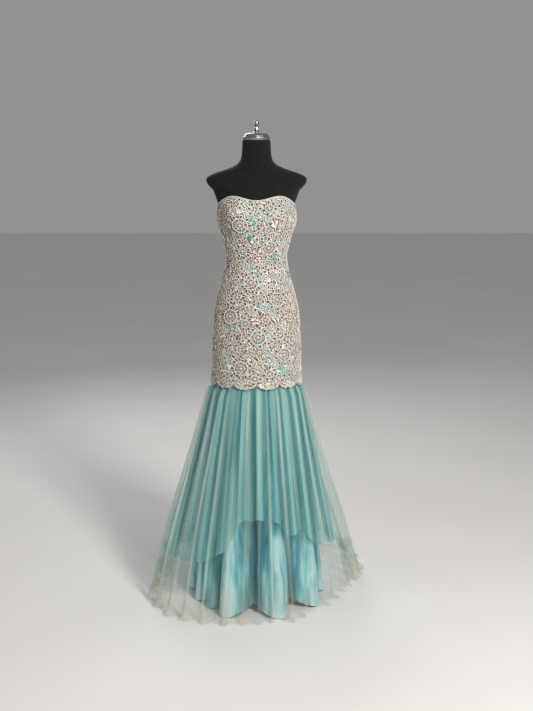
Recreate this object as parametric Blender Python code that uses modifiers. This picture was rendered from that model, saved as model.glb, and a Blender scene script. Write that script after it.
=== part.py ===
"""Strapless mermaid gown on a limbless dress form, in metres, +Z up.

The origin is on the floor, under the middle of the form's round base. The gown's front faces -Y.
Every cloth piece is a thin wall. Its middle surface is a grid of points, one row for each height and
one column for each direction round the body, and the wall's two faces lie half a thickness to each
side of it. Directions run from 0 degrees at the front through 90 at +X to 180 at the back.
"""

import math

import bmesh
import bpy
import numpy as np
from mathutils import Matrix, Vector

# Cloth
LACE_THICKNESS = 0.0020
SATIN_THICKNESS = 0.0015
TULLE_THICKNESS = 0.0012
SEAM_GAP = 0.0005
LAYER_GAP = 0.0007

# Sheath, from the sweetheart edge to the scalloped lace edge
SCALLOPS = 12
COLUMNS_PER_SCALLOP = 5
SHEATH_COLUMNS = SCALLOPS * COLUMNS_PER_SCALLOP
SCALLOP_BOTTOM_Z = 0.806
SCALLOP_DEPTH = 0.018
SHEATH_ROWS = 12
NECKLINE_DIP_Z = 1.464
NECKLINE_PEAK_Z = 1.478
NECKLINE_SIDE_Z = 1.446
NECKLINE_BACK_Z = 1.405
NECKLINE_PEAK_DEG = 36.0

# Bust cups, as soft mounds on the front of the sheath
CUP_DEG = 34.0
CUP_HALF_WIDTH_DEG = 30.0
CUP_Z = 1.408
CUP_HALF_HEIGHT = 0.095
CUP_DEPTH = 0.020

# Body sections: half width, reach to the front and reach to the back at each height
BODY_SECTIONS = (
    # z, half_width, front, back
    (0.780, 0.1670, 0.135, 0.134),
    (0.860, 0.1580, 0.122, 0.126),
    (0.940, 0.1565, 0.114, 0.126),
    (1.020, 0.1515, 0.108, 0.121),
    (1.090, 0.1435, 0.104, 0.111),
    (1.150, 0.1290, 0.098, 0.097),
    (1.210, 0.1120, 0.090, 0.084),
    (1.262, 0.1045, 0.086, 0.079),
    (1.312, 0.1145, 0.090, 0.084),
    (1.355, 0.1270, 0.098, 0.090),
    (1.400, 0.1370, 0.106, 0.096),
    (1.440, 0.1340, 0.102, 0.096),
    (1.490, 0.1330, 0.088, 0.092),
)

# Dress form above the sheath: half width, reach to the front and to the back
SHOULDER_SECTIONS = (
    # z, half_width, front, back, squareness
    (1.494, 0.1500, 0.076, 0.084, 2.3),
    (1.516, 0.1700, 0.062, 0.074, 2.6),
    (1.536, 0.1730, 0.052, 0.064, 2.6),
    (1.551, 0.1480, 0.050, 0.060, 2.4),
    (1.567, 0.1000, 0.051, 0.058, 2.2),
    (1.581, 0.0700, 0.052, 0.056, 2.0),
    (1.602, 0.0535, 0.050, 0.051, 2.0),
    (1.666, 0.0475, 0.0475, 0.0475, 2.0),
)
FORM_BOTTOM_Z = 0.875
FORM_CLEARANCE = 0.0006

# Stand and neck cap
BASE_RADIUS = 0.145
BASE_HEIGHT = 0.014
BASE_EDGE = 0.004
COLLAR_RADIUS = 0.024
COLLAR_HEIGHT = 0.040
POLE_RADIUS = 0.0125
TOUCH_GAP = 0.0003
CAP_HEIGHT = 0.024
CAP_PROFILE = (
    # radius, height above the cap's underside
    (0.0300, 0.0240),
    (0.0380, 0.0215),
    (0.0420, 0.0165),
    (0.0435, 0.0125),
    (0.0470, 0.0115),
    (0.0480, 0.0085),
    (0.0470, 0.0055),
    (0.0455, 0.0000),
)
FINIAL_PROFILE = (
    # radius, height above the cap
    (0.0040, 0.0420),
    (0.0075, 0.0390),
    (0.0095, 0.0330),
    (0.0080, 0.0270),
    (0.0050, 0.0235),
    (0.0048, 0.0205),
    (0.0085, 0.0170),
    (0.0095, 0.0125),
    (0.0070, 0.0080),
    (0.0050, 0.0060),
    (0.0130, 0.0025),
    (0.0140, 0.0000),
)

# Skirts: where the three layers start, and how each spreads on its way down
SKIRT_TOP_Z = 0.836
TULLE_GATHERS = 30
UNDER_TULLE_GATHERS = 22
COLUMNS_PER_GATHER = 4
SATIN_COLUMNS_PER_FOLD = 8
GATHER_AT_SEAM = 0.0009
TULLE_WAVE_FRONT = 0.007
TULLE_WAVE_BACK = 0.020
UNDER_TULLE_WAVE_FRONT = 0.004
UNDER_TULLE_WAVE_BACK = 0.011
GATHER_STRENGTH = (0.6, 1.4)
GATHER_DRIFT_DEG = 1.6
TULLE_SEED = 5
UNDER_TULLE_SEED = 9
TULLE_INSET = LACE_THICKNESS / 2 + LAYER_GAP + TULLE_THICKNESS / 2 + GATHER_AT_SEAM
UNDER_TULLE_INSET = TULLE_INSET + 2 * GATHER_AT_SEAM + LAYER_GAP + TULLE_THICKNESS
SATIN_INSET = (
    UNDER_TULLE_INSET + GATHER_AT_SEAM + LAYER_GAP + (TULLE_THICKNESS + SATIN_THICKNESS) / 2
)

# Share of the way from the seam to the floor outline, at the front, at the sides and in the train
TULLE_SECTIONS = (
    # z, front, side, back
    (0.8360, 0.000, 0.000, 0.000),
    (0.8060, 0.000, 0.000, 0.000),
    (0.7820, 0.075, 0.085, 0.030),
    (0.7200, 0.160, 0.165, 0.080),
    (0.5900, 0.310, 0.320, 0.185),
    (0.4300, 0.480, 0.520, 0.310),
    (0.2700, 0.640, 0.720, 0.450),
    (0.1100, 0.790, 0.880, 0.620),
    (0.0250, 0.900, 0.955, 0.800),
    (0.0016, 1.000, 1.000, 1.000),
)
# The aqua tulle shares this many of the outer tulle's rows, then spaces its own down to its hem
UNDER_TULLE_SHARED_ROWS = 4
UNDER_TULLE_OWN_ROWS = 2
SATIN_SECTIONS = (
    # z, share
    (0.836, 0.000),
    (0.804, 0.000),
    (0.740, 0.060),
    (0.560, 0.280),
    (0.340, 0.590),
    (0.120, 0.880),
    (0.002, 1.000),
)

# Floor outline of the outer tulle, with its train behind, and how far its hem stands off the floor
TULLE_OUTLINE = (
    # direction_deg, radius, lift
    (-180.0, 0.800, 0.000),
    (-162.0, 0.780, 0.000),
    (-146.0, 0.680, 0.000),
    (-133.0, 0.530, 0.000),
    (-118.0, 0.415, 0.000),
    (-102.0, 0.376, 0.000),
    (-86.0, 0.396, 0.000),
    (-68.0, 0.380, 0.000),
    (-50.0, 0.366, 0.000),
    (-30.0, 0.330, 0.000),
    (-12.0, 0.302, 0.002),
    (4.0, 0.290, 0.006),
    (17.0, 0.286, 0.014),
    (30.0, 0.300, 0.002),
    (43.0, 0.292, 0.028),
    (60.0, 0.312, 0.040),
    (76.0, 0.330, 0.044),
    (92.0, 0.356, 0.036),
    (106.0, 0.400, 0.014),
    (119.0, 0.460, 0.000),
    (134.0, 0.550, 0.000),
    (147.0, 0.690, 0.000),
    (163.0, 0.790, 0.000),
)
# Floor outline that the aqua tulle would have, and the height of its hem
UNDER_TULLE_OUTLINE = (
    # direction_deg, radius, hem_z
    (-180.0, 0.500, 0.150),
    (-150.0, 0.450, 0.150),
    (-120.0, 0.360, 0.150),
    (-90.0, 0.345, 0.155),
    (-60.0, 0.325, 0.185),
    (-30.0, 0.290, 0.290),
    (0.0, 0.268, 0.350),
    (25.0, 0.268, 0.330),
    (50.0, 0.272, 0.270),
    (80.0, 0.300, 0.215),
    (110.0, 0.345, 0.180),
    (145.0, 0.450, 0.155),
)
# Satin flutes at the hem: each row is a crest and the valley that follows it
SATIN_FOLDS = (
    # crest_deg, crest_radius, valley_deg, valley_radius, valley_lift
    (-168.0, 0.330, -153.0, 0.250, 0.004),
    (-138.0, 0.305, -122.0, 0.225, 0.004),
    (-106.0, 0.262, -90.0, 0.195, 0.006),
    (-74.0, 0.232, -63.0, 0.185, 0.010),
    (-51.0, 0.226, -42.0, 0.192, 0.004),
    (-28.0, 0.258, -3.0, 0.168, 0.030),
    (20.0, 0.254, 42.0, 0.170, 0.034),
    (62.0, 0.252, 84.0, 0.200, 0.018),
    (100.0, 0.256, 116.0, 0.205, 0.006),
    (131.0, 0.300, 146.0, 0.235, 0.004),
    (162.0, 0.330, 177.0, 0.262, 0.004),
)
CREST_BREADTH = 0.72

# Gores of each skirt, with the direction of the seam that each starts from
TULLE_SEAMS = (
    # gore, first_seam_deg
    ("front", -48.0),
    ("side_front_r", 48.0),
    ("side_back_r", 90.0),
    ("back_r", 138.0),
    ("back_l", 180.0),
    ("side_back_l", -138.0),
    ("side_front_l", -90.0),
)
UNDER_TULLE_SEAMS = (
    # gore, first_seam_deg
    ("front", -90.0),
    ("back_r", 90.0),
    ("back_l", 180.0),
)
SATIN_SEAMS = (
    # gore, first_seam_deg
    ("front", -42.0),
    ("side_r", 42.0),
    ("back_r", 116.0),
    ("back_l", 177.0),
    ("side_l", -122.0),
)

# Centre back zip
SLIDER_WIDTH = 0.008
SLIDER_HEIGHT = 0.012
SLIDER_DEPTH = 0.0035
SLIDER_BELOW_EDGE = 0.006
EAR_WIDTH = 0.0014
EAR_REACH = 0.0032
PULL_WIDTH = 0.0042
PULL_LENGTH = 0.026
PULL_THICKNESS = 0.0012
PULL_CLEARANCE = 0.0006
PULL_PIN_BELOW_TOP = 0.0060

COLOURS = {
    # base colour, roughness, metallic
    "lace": ((0.80, 0.75, 0.68), 0.75, 0.0),
    "satin_aqua": ((0.24, 0.58, 0.60), 0.32, 0.0),
    "tulle_aqua": ((0.36, 0.68, 0.64), 0.60, 0.0),
    "tulle_champagne": ((0.62, 0.70, 0.62), 0.60, 0.0),
    "form_jersey": ((0.020, 0.020, 0.022), 0.85, 0.0),
    "bright_metal": ((0.75, 0.75, 0.76), 0.18, 1.0),
    "black_metal": ((0.03, 0.03, 0.03), 0.40, 1.0),
}


def clear_scene():
    """Removes the objects that a new file starts with."""
    for item in list(bpy.data.objects):
        bpy.data.objects.remove(item, do_unlink=True)


def new_collection(name):
    """A collection in the scene."""
    collection = bpy.data.collections.new(name)
    bpy.context.scene.collection.children.link(collection)
    return collection


def make_materials():
    """One Principled material for each finish."""
    materials = {}
    for name, (colour, roughness, metallic) in COLOURS.items():
        material = bpy.data.materials.new(name)
        material.use_nodes = True
        shader = material.node_tree.nodes["Principled BSDF"]
        shader.inputs["Base Color"].default_value = (*colour, 1.0)
        shader.inputs["Roughness"].default_value = roughness
        shader.inputs["Metallic"].default_value = metallic
        materials[name] = material
    return materials


def ease(x):
    """Smooth step from 0 to 1."""
    x = min(max(x, 0.0), 1.0)
    return x * x * (3.0 - 2.0 * x)


def smooth_rows(table, z):
    """The values of a table of (z, value, ...) rows at height z, on a smooth curve through the rows."""
    heights = [row[0] for row in table]
    z = min(max(z, heights[0]), heights[-1])
    i = max(k for k in range(len(table) - 1) if heights[k] <= z)
    here, after = table[i], table[i + 1]
    before = table[max(i - 1, 0)]
    beyond = table[min(i + 2, len(table) - 1)]
    step = after[0] - here[0]
    x = (z - here[0]) / step
    values = []
    for k in range(1, len(here)):
        rise_here = (after[k] - before[k]) / max(after[0] - before[0], 1e-9) * step
        rise_after = (beyond[k] - here[k]) / max(beyond[0] - here[0], 1e-9) * step
        values.append(
            (2 * x**3 - 3 * x**2 + 1) * here[k]
            + (x**3 - 2 * x**2 + x) * rise_here
            + (-2 * x**3 + 3 * x**2) * after[k]
            + (x**3 - x**2) * rise_after
        )
    return values


def round_table(table, degrees):
    """The values of a table of (direction, value, ...) rows at a direction, on a smooth closed curve."""
    turn = 360.0
    degrees = (degrees - table[0][0]) % turn + table[0][0]
    count = len(table)
    i = max(k for k in range(count) if table[k][0] <= degrees + 1e-9)

    def row(k):
        laps, place = divmod(k, count)
        return (table[place][0] + laps * turn, *table[place][1:])

    return smooth_rows([row(k) for k in range(i - 1, i + 3)], degrees)


def direction_of(degrees):
    """Sine and minus cosine of a direction, its share of +X and of +Y."""
    angle = math.radians(degrees)
    return math.sin(angle), -math.cos(angle)


def section_point(half_width, front, back, degrees, z, squareness=2.0):
    """A point of a body section, half an oval to the front and half one to the back."""
    across, along = direction_of(degrees)
    power = 2.0 / squareness
    across = math.copysign(abs(across) ** power, across)
    along = math.copysign(abs(along) ** power, along)
    return (half_width * across, (front if along < 0 else back) * along, z)


def turned(degrees):
    """A direction as -180 to 180 degrees."""
    return (degrees + 180.0) % 360.0 - 180.0


def cup_swell(degrees, z):
    """How far the bust cups stand out from the plain section."""
    aside = (abs(turned(degrees)) - CUP_DEG) / CUP_HALF_WIDTH_DEG
    above = (z - CUP_Z) / CUP_HALF_HEIGHT
    off = math.hypot(aside, above)
    return CUP_DEPTH * (0.5 + 0.5 * math.cos(math.pi * off)) if off < 1.0 else 0.0


def body_point(degrees, z):
    """A point of the sheath's middle surface, cups and all."""
    half_width, front, back = smooth_rows(BODY_SECTIONS, z)
    x, y, z = section_point(half_width, front, back, degrees, z)
    out = cup_swell(degrees, z)
    across, along = direction_of(degrees)
    return (x + out * across * 0.6, y + out * along, z)


def neckline(degrees):
    """Height of the sweetheart edge."""
    side = abs(turned(degrees))
    if side < NECKLINE_PEAK_DEG:
        share = ease(side / NECKLINE_PEAK_DEG)
        return NECKLINE_DIP_Z + (NECKLINE_PEAK_Z - NECKLINE_DIP_Z) * share
    if side < 90.0:
        share = ease((side - NECKLINE_PEAK_DEG) / (90.0 - NECKLINE_PEAK_DEG))
        return NECKLINE_PEAK_Z + (NECKLINE_SIDE_Z - NECKLINE_PEAK_Z) * share
    share = ease((side - 90.0) / 90.0)
    return NECKLINE_SIDE_Z + (NECKLINE_BACK_Z - NECKLINE_SIDE_Z) * share


def scalloped_edge(degrees):
    """Height of the lace's lower edge, one arc for each scallop."""
    place = (degrees * SCALLOPS / 360.0) % 1.0
    arc = math.sqrt(max(1.0 - (2.0 * place - 1.0) ** 2, 0.0))
    return SCALLOP_BOTTOM_Z + SCALLOP_DEPTH * (1.0 - arc)


def grid_normals(grid, closed):
    """Outward unit normals of a grid of points, rows from top to bottom."""
    down = np.gradient(grid, axis=0)
    if closed:
        across = np.roll(grid, -1, axis=1) - np.roll(grid, 1, axis=1)
    else:
        across = np.gradient(grid, axis=1)
    normals = np.cross(down, across)
    return normals / np.linalg.norm(normals, axis=2, keepdims=True)


def object_of(name, mesh, material, collection):
    """An object for a mesh, with its material, in the gown's collection."""
    item = bpy.data.objects.new(name, mesh)
    item.data.materials.append(material)
    collection.objects.link(item)
    return item


def wall_panel(name, grid, thickness, columns, material, collection):
    """One cut piece of a wall: the closed solid between two offsets of a closed grid.

    columns is the first and last column of the piece. Both are kept half a seam gap inside.
    """
    normals = grid_normals(grid, closed=True)
    count = grid.shape[1]
    taken = [c % count for c in range(columns[0], columns[1] + 1)]
    middle = grid[:, taken].copy()
    facing = normals[:, taken]
    for edge, inner in ((0, 1), (-1, -2)):
        inward = middle[:, inner] - middle[:, edge]
        inward /= np.linalg.norm(inward, axis=1, keepdims=True)
        middle[:, edge] += inward * SEAM_GAP / 2
    outer = middle + facing * thickness / 2
    inner = middle - facing * thickness / 2
    shape = bmesh.new()
    sheets = []
    for sheet in (outer, inner):
        sheets.append([[shape.verts.new(Vector(p)) for p in row] for row in sheet])
    rows, across = middle.shape[:2]
    for sheet in sheets:
        for r in range(rows - 1):
            for c in range(across - 1):
                shape.faces.new(
                    (sheet[r][c], sheet[r + 1][c], sheet[r + 1][c + 1], sheet[r][c + 1])
                )
    out, back = sheets
    rim = [(r, 0) for r in range(rows)]
    rim += [(rows - 1, c) for c in range(1, across)]
    rim += [(r, across - 1) for r in range(rows - 2, -1, -1)]
    rim += [(0, c) for c in range(across - 2, 0, -1)]
    for here, after in zip(rim, rim[1:] + rim[:1]):
        corners = (
            out[here[0]][here[1]],
            out[after[0]][after[1]],
            back[after[0]][after[1]],
            back[here[0]][here[1]],
        )
        shape.faces.new(corners)
    bmesh.ops.triangulate(shape, faces=shape.faces[:])
    bmesh.ops.recalc_face_normals(shape, faces=shape.faces[:])
    mesh = bpy.data.meshes.new(name)
    shape.to_mesh(mesh)
    shape.free()
    mesh.shade_smooth()
    return object_of(name, mesh, material, collection)


def even_directions(columns):
    """Directions of evenly spaced columns."""
    return [360.0 * c / columns for c in range(columns)]


def sheath_grid():
    """Middle surface of the sheath, from the neckline down to the scallops."""
    grid = np.empty((SHEATH_ROWS, SHEATH_COLUMNS, 3))
    for c, degrees in enumerate(even_directions(SHEATH_COLUMNS)):
        top, bottom = neckline(degrees), scalloped_edge(degrees)
        for r in range(SHEATH_ROWS):
            z = top + (bottom - top) * r / (SHEATH_ROWS - 1)
            grid[r, c] = body_point(degrees, z)
    return grid


def make_sheath(materials, collection):
    """Seven lace panels: centre front, side fronts, side backs and backs, meeting at scallop notches."""
    grid = sheath_grid()
    per = COLUMNS_PER_SCALLOP
    cuts = {
        "lace_front": (-per, per),
        "lace_side_front_r": (per, 3 * per),
        "lace_side_back_r": (3 * per, 5 * per),
        "lace_back_r": (5 * per, 6 * per),
        "lace_back_l": (6 * per, 7 * per),
        "lace_side_back_l": (7 * per, 9 * per),
        "lace_side_front_l": (9 * per, 11 * per),
    }
    for name, columns in cuts.items():
        wall_panel(name, grid, LACE_THICKNESS, columns, materials["lace"], collection)


def seam_radius(degrees, inset):
    """Distance from the axis to the seam ring of a skirt, inset from the sheath's middle surface."""
    x, y, _ = body_point(degrees, SKIRT_TOP_Z)
    return math.hypot(x, y) - inset


def seam_direction(degrees):
    """Direction in which the sheath's point for this column really lies from the axis."""
    x, y, _ = body_point(degrees, SKIRT_TOP_Z)
    return math.degrees(math.atan2(x, -y))


def spread_point(degrees, inset, radius, share, z, wave):
    """A skirt point: part of the way from the seam ring to the floor outline, with its gather."""
    start = seam_radius(degrees, inset)
    start_way = direction_of(seam_direction(degrees))
    end_way = direction_of(degrees)
    across = start_way[0] * start * (1 - share) + end_way[0] * radius * share
    along = start_way[1] * start * (1 - share) + end_way[1] * radius * share
    reach = math.hypot(across, along)
    return (across * (1 + wave / reach), along * (1 + wave / reach), z)


def backness(degrees):
    """0 at the front, 1 at the back."""
    return (1.0 - math.cos(math.radians(degrees))) / 2.0


def share_towards(degrees, front, side, back):
    """The share at a direction, from those at the front, at the sides and at the back."""
    aside = math.sin(math.radians(degrees)) ** 2
    ahead = front if math.cos(math.radians(degrees)) > 0 else back
    return side * aside + ahead * (1.0 - aside)


def gather(column):
    """The wave of a gather at a column: out, level, in, level."""
    return math.sin(2.0 * math.pi * (column + 0.5) / COLUMNS_PER_GATHER) * math.sqrt(2.0)



def uneven_gathers(count, seed):
    """Direction and strength of each column of a gathered skirt, as uneven as real gathers."""
    chance = np.random.default_rng(seed)
    strengths = chance.uniform(*GATHER_STRENGTH, count)
    drifts = chance.uniform(-GATHER_DRIFT_DEG, GATHER_DRIFT_DEG, count)
    directions = even_directions(count * COLUMNS_PER_GATHER)
    return [
        (degrees + drifts[c // COLUMNS_PER_GATHER], strengths[c // COLUMNS_PER_GATHER])
        for c, degrees in enumerate(directions)
    ]


def tulle_grid():
    """Middle surface of the outer tulle skirt, and the direction of each column."""
    columns = uneven_gathers(TULLE_GATHERS, TULLE_SEED)
    grid = np.empty((len(TULLE_SECTIONS), len(columns), 3))
    for c, (degrees, strength) in enumerate(columns):
        radius, lift = round_table(TULLE_OUTLINE, degrees)
        lift = max(lift, 0.0)
        back = backness(degrees)
        full_wave = strength * (TULLE_WAVE_FRONT + (TULLE_WAVE_BACK - TULLE_WAVE_FRONT) * back)
        for r, (z, *shares) in enumerate(TULLE_SECTIONS):
            share = share_towards(degrees, *shares)
            wave = gather(c) * (GATHER_AT_SEAM * (1 - share) + full_wave * share)
            lifted = z + lift * share**4
            grid[r, c] = spread_point(degrees, TULLE_INSET, radius, share, lifted, wave)
    return grid, [column[0] for column in columns]


def under_tulle_heights(hem_z):
    """Heights of the aqua tulle's rows at a column, from the seam to its hem."""
    heights = [row[0] for row in TULLE_SECTIONS[:UNDER_TULLE_SHARED_ROWS]]
    last = heights[-1]
    for k in range(1, UNDER_TULLE_OWN_ROWS + 1):
        heights.append(last + (hem_z - last) * k / UNDER_TULLE_OWN_ROWS)
    return heights


def under_tulle_grid():
    """Middle surface of the shorter aqua tulle skirt, and the direction of each column."""
    columns = uneven_gathers(UNDER_TULLE_GATHERS, UNDER_TULLE_SEED)
    grid = np.empty((UNDER_TULLE_SHARED_ROWS + UNDER_TULLE_OWN_ROWS, len(columns), 3))
    rising = TULLE_SECTIONS[::-1]
    for c, (degrees, strength) in enumerate(columns):
        radius, hem_z = round_table(UNDER_TULLE_OUTLINE, degrees)
        back = backness(degrees)
        step = UNDER_TULLE_WAVE_BACK - UNDER_TULLE_WAVE_FRONT
        full_wave = strength * (UNDER_TULLE_WAVE_FRONT + step * back)
        for r, z in enumerate(under_tulle_heights(hem_z)):
            share = share_towards(degrees, *smooth_rows(rising, z))
            wave = gather(c) * (GATHER_AT_SEAM * (1 - share) + full_wave * share)
            grid[r, c] = spread_point(degrees, UNDER_TULLE_INSET, radius, share, z, wave)
    return grid, [column[0] for column in columns]


def satin_turns():
    """Crests and valleys of the satin's hem in order: direction, radius and lift off the floor."""
    turns = []
    for crest_deg, crest_radius, valley_deg, valley_radius, lift in SATIN_FOLDS:
        turns.append((crest_deg, crest_radius, 0.0, True))
        turns.append((valley_deg, valley_radius, lift, False))
    return turns


def satin_grid():
    """Middle surface of the satin skirt with its deep flutes, and the direction of each column."""
    turns = satin_turns()
    half = SATIN_COLUMNS_PER_FOLD // 2
    columns = []
    for k, here in enumerate(turns):
        after = turns[(k + 1) % len(turns)]
        gap = (after[0] - here[0]) % 360.0
        for step in range(half):
            x = step / half
            towards_crest = (1.0 - ease(x) if here[3] else ease(x)) ** CREST_BREADTH
            crest, valley = (here, after) if here[3] else (after, here)
            radius = valley[1] + (crest[1] - valley[1]) * towards_crest
            lift = valley[2] * (1.0 - towards_crest)
            columns.append((here[0] + gap * x, radius, lift))
    grid = np.empty((len(SATIN_SECTIONS), len(columns), 3))
    for c, (degrees, radius, lift) in enumerate(columns):
        for r, (z, share) in enumerate(SATIN_SECTIONS):
            lifted = z + lift * share**4
            grid[r, c] = spread_point(degrees, SATIN_INSET, radius, share, lifted, 0.0)
    return grid, [column[0] for column in columns]


def column_near(directions, degrees):
    """The column of a grid that lies nearest a direction."""
    return min(
        range(len(directions)), key=lambda c: abs(turned(directions[c] - degrees))
    )


def make_skirt(prefix, grid, directions, seams, thickness, material, collection):
    """A skirt in cut gores, each from its own seam round to the next."""
    columns = [column_near(directions, degrees) for _, degrees in seams]
    count = len(directions)
    for k, (part, _) in enumerate(seams):
        first, last = columns[k], columns[(k + 1) % len(seams)]
        if last <= first:
            last += count
        wall_panel(f"{prefix}_{part}", grid, thickness, (first, last), material, collection)


def make_skirts(materials, collection):
    """Outer tulle with its train, aqua tulle under it, and satin innermost."""
    skirts = (
        # name, grid and directions, seams, thickness, material
        ("tulle_skirt", tulle_grid(), TULLE_SEAMS, TULLE_THICKNESS, "tulle_champagne"),
        ("aqua_tulle", under_tulle_grid(), UNDER_TULLE_SEAMS, TULLE_THICKNESS, "tulle_aqua"),
        ("satin_skirt", satin_grid(), SATIN_SEAMS, SATIN_THICKNESS, "satin_aqua"),
    )
    for prefix, (grid, directions), seams, thickness, finish in skirts:
        make_skirt(prefix, grid, directions, seams, thickness, materials[finish], collection)


def form_rings():
    """Rings of the dress form's surface, bottom to top, on the sheath's own facets."""
    sheath = sheath_grid()
    inset = LACE_THICKNESS / 2 + FORM_CLEARANCE
    lining = sheath - grid_normals(sheath, closed=True) * inset
    last = next(r for r in range(SHEATH_ROWS) if lining[r, :, 2].min() < FORM_BOTTOM_Z + 0.01)
    bottom = []
    for c in range(SHEATH_COLUMNS):
        above, below = lining[last - 1, c], lining[last, c]
        share = (above[2] - FORM_BOTTOM_Z) / (above[2] - below[2])
        bottom.append(above + (below - above) * share)
    rings = [bottom]
    rings += [list(lining[r]) for r in range(last - 1, -1, -1)]
    for z, half_width, front, back, squareness in SHOULDER_SECTIONS:
        rings.append(
            [
                section_point(half_width, front, back, turn, z, squareness)
                for turn in even_directions(SHEATH_COLUMNS)
            ]
        )
    return rings


def make_form(materials, collection):
    """The limbless dress form: torso, shoulders and neck block in one smooth solid."""
    rings = form_rings()
    shape = bmesh.new()
    loops = [[shape.verts.new(Vector(p)) for p in ring] for ring in rings]
    count = len(loops[0])
    for low, high in zip(loops, loops[1:]):
        for c in range(count):
            d = (c + 1) % count
            shape.faces.new((low[c], low[d], high[d], high[c]))
    shape.faces.new(loops[0][::-1])
    shape.faces.new(loops[-1])
    bmesh.ops.triangulate(shape, faces=shape.faces[:])
    bmesh.ops.recalc_face_normals(shape, faces=shape.faces[:])
    mesh = bpy.data.meshes.new("form_torso")
    shape.to_mesh(mesh)
    shape.free()
    mesh.shade_smooth()
    object_of("form_torso", mesh, materials["form_jersey"], collection)


def turned_piece(name, profile, z, steps, material, collection):
    """A solid of revolution from a profile that runs down its outer side."""
    shape = bmesh.new()
    outline = [(0.0, profile[0][1]), *profile, (0.0, profile[-1][1])]
    points = [shape.verts.new((radius, 0.0, z + height)) for radius, height in outline]
    for here, after in zip(points, points[1:]):
        shape.edges.new((here, after))
    mesh = bpy.data.meshes.new(name)
    shape.to_mesh(mesh)
    shape.free()
    item = object_of(name, mesh, material, collection)
    screw = item.modifiers.new("turn", "SCREW")
    screw.axis = "Z"
    screw.steps = steps
    screw.render_steps = steps
    screw.use_merge_vertices = True
    screw.merge_threshold = 0.00005
    return item


def make_stand(materials, collection):
    """Round base with its collar, pole, neck cap and finial."""
    base_profile = (
        (COLLAR_RADIUS - 0.004, COLLAR_HEIGHT),
        (COLLAR_RADIUS, COLLAR_HEIGHT - 0.004),
        (COLLAR_RADIUS, BASE_HEIGHT + 0.004),
        (COLLAR_RADIUS + 0.006, BASE_HEIGHT),
        (BASE_RADIUS - BASE_EDGE, BASE_HEIGHT),
        (BASE_RADIUS, BASE_HEIGHT - BASE_EDGE),
        (BASE_RADIUS, 0.0),
    )
    turned_piece("stand_base", base_profile, 0.0, 28, materials["black_metal"], collection)
    pole_bottom = COLLAR_HEIGHT + TOUCH_GAP
    pole_top = FORM_BOTTOM_Z - TOUCH_GAP
    pole_profile = ((POLE_RADIUS, pole_top), (POLE_RADIUS, pole_bottom))
    turned_piece("stand_pole", pole_profile, 0.0, 24, materials["bright_metal"], collection)
    cap_z = SHOULDER_SECTIONS[-1][0] + TOUCH_GAP
    turned_piece("neck_cap", CAP_PROFILE, cap_z, 24, materials["bright_metal"], collection)
    finial_z = cap_z + CAP_HEIGHT + TOUCH_GAP
    turned_piece(
        "neck_finial", FINIAL_PROFILE, finial_z, 12, materials["bright_metal"], collection
    )


def box_piece(name, size, centre, material, collection):
    """A box with its place in its mesh."""
    shape = bmesh.new()
    bmesh.ops.create_cube(shape, size=1.0)
    bmesh.ops.scale(shape, vec=size, verts=shape.verts)
    bmesh.ops.translate(shape, vec=centre, verts=shape.verts)
    mesh = bpy.data.meshes.new(name)
    shape.to_mesh(mesh)
    shape.free()
    return object_of(name, mesh, material, collection)


def back_reach(z):
    """How far behind the axis the sheath's outer face lies at the centre back."""
    return body_point(180.0, z)[1] + LACE_THICKNESS / 2


def pull_pin():
    """The point on the axis about which the zip's pull tab swings."""
    top = NECKLINE_BACK_Z - SLIDER_BELOW_EDGE
    z = top - PULL_PIN_BELOW_TOP
    front = back_reach(z) + TOUCH_GAP + SLIDER_DEPTH
    return Vector((0.0, front + EAR_REACH / 2, z))


def make_zip(materials, collection):
    """Slider with two ears on the closed back seam, and a pull tab that hangs between the ears."""
    metal = materials["bright_metal"]
    top = NECKLINE_BACK_Z - SLIDER_BELOW_EDGE
    pin = pull_pin()
    reach = max(back_reach(top), back_reach(top - SLIDER_HEIGHT))
    middle_z = top - SLIDER_HEIGHT / 2
    body_depth = pin.y - EAR_REACH / 2 - reach - TOUCH_GAP
    slider = box_piece(
        "zip_slider",
        (SLIDER_WIDTH, body_depth, SLIDER_HEIGHT),
        (0.0, reach + TOUCH_GAP + body_depth / 2, middle_z),
        metal,
        collection,
    )
    ear_x = PULL_WIDTH / 2 + PULL_CLEARANCE + EAR_WIDTH / 2
    helpers = new_collection("helpers")
    for side in (-1, 1):
        ear = box_piece(
            f"ear_{side}",
            (EAR_WIDTH, EAR_REACH + 0.001, 0.0044),
            (side * ear_x, pin.y - 0.0005, pin.z),
            metal,
            helpers,
        )
        ear.hide_render = True
        ear.display_type = "WIRE"
        union = slider.modifiers.new(f"ear_{side}", "BOOLEAN")
        union.operation = "UNION"
        union.object = ear
    pull = box_piece(
        "zip_pull",
        (PULL_WIDTH, PULL_THICKNESS, PULL_LENGTH),
        (0.0, 0.0, -PULL_LENGTH / 2 + PULL_THICKNESS / 2),
        metal,
        collection,
    )
    pull.matrix_world = Matrix.Translation(pin)
    bevel = pull.modifiers.new("edge", "BEVEL")
    bevel.width = 0.0003
    bevel.segments = 1


def main():
    """Builds the gown and its dress form."""
    clear_scene()
    collection = new_collection("mermaid_gown")
    materials = make_materials()
    make_sheath(materials, collection)
    make_skirts(materials, collection)
    make_form(materials, collection)
    make_stand(materials, collection)
    make_zip(materials, collection)


main()
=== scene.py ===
"""Looks of a strapless mermaid gown on a limbless dress form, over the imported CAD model.

Every length is in metres, +Z is up and the gown's front faces -Y. Directions round the body run
from 0 degrees at the front through 90 at +X to 180 at the back, as in the CAD model. Cloth is laid
out on grids whose points follow the garment's own measures, and the corded lace is made from a few
small shapes that are modelled once and copied over the sheath.
"""

import logging
import math
from dataclasses import dataclass, field
from enum import Enum
from typing import Callable

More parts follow.
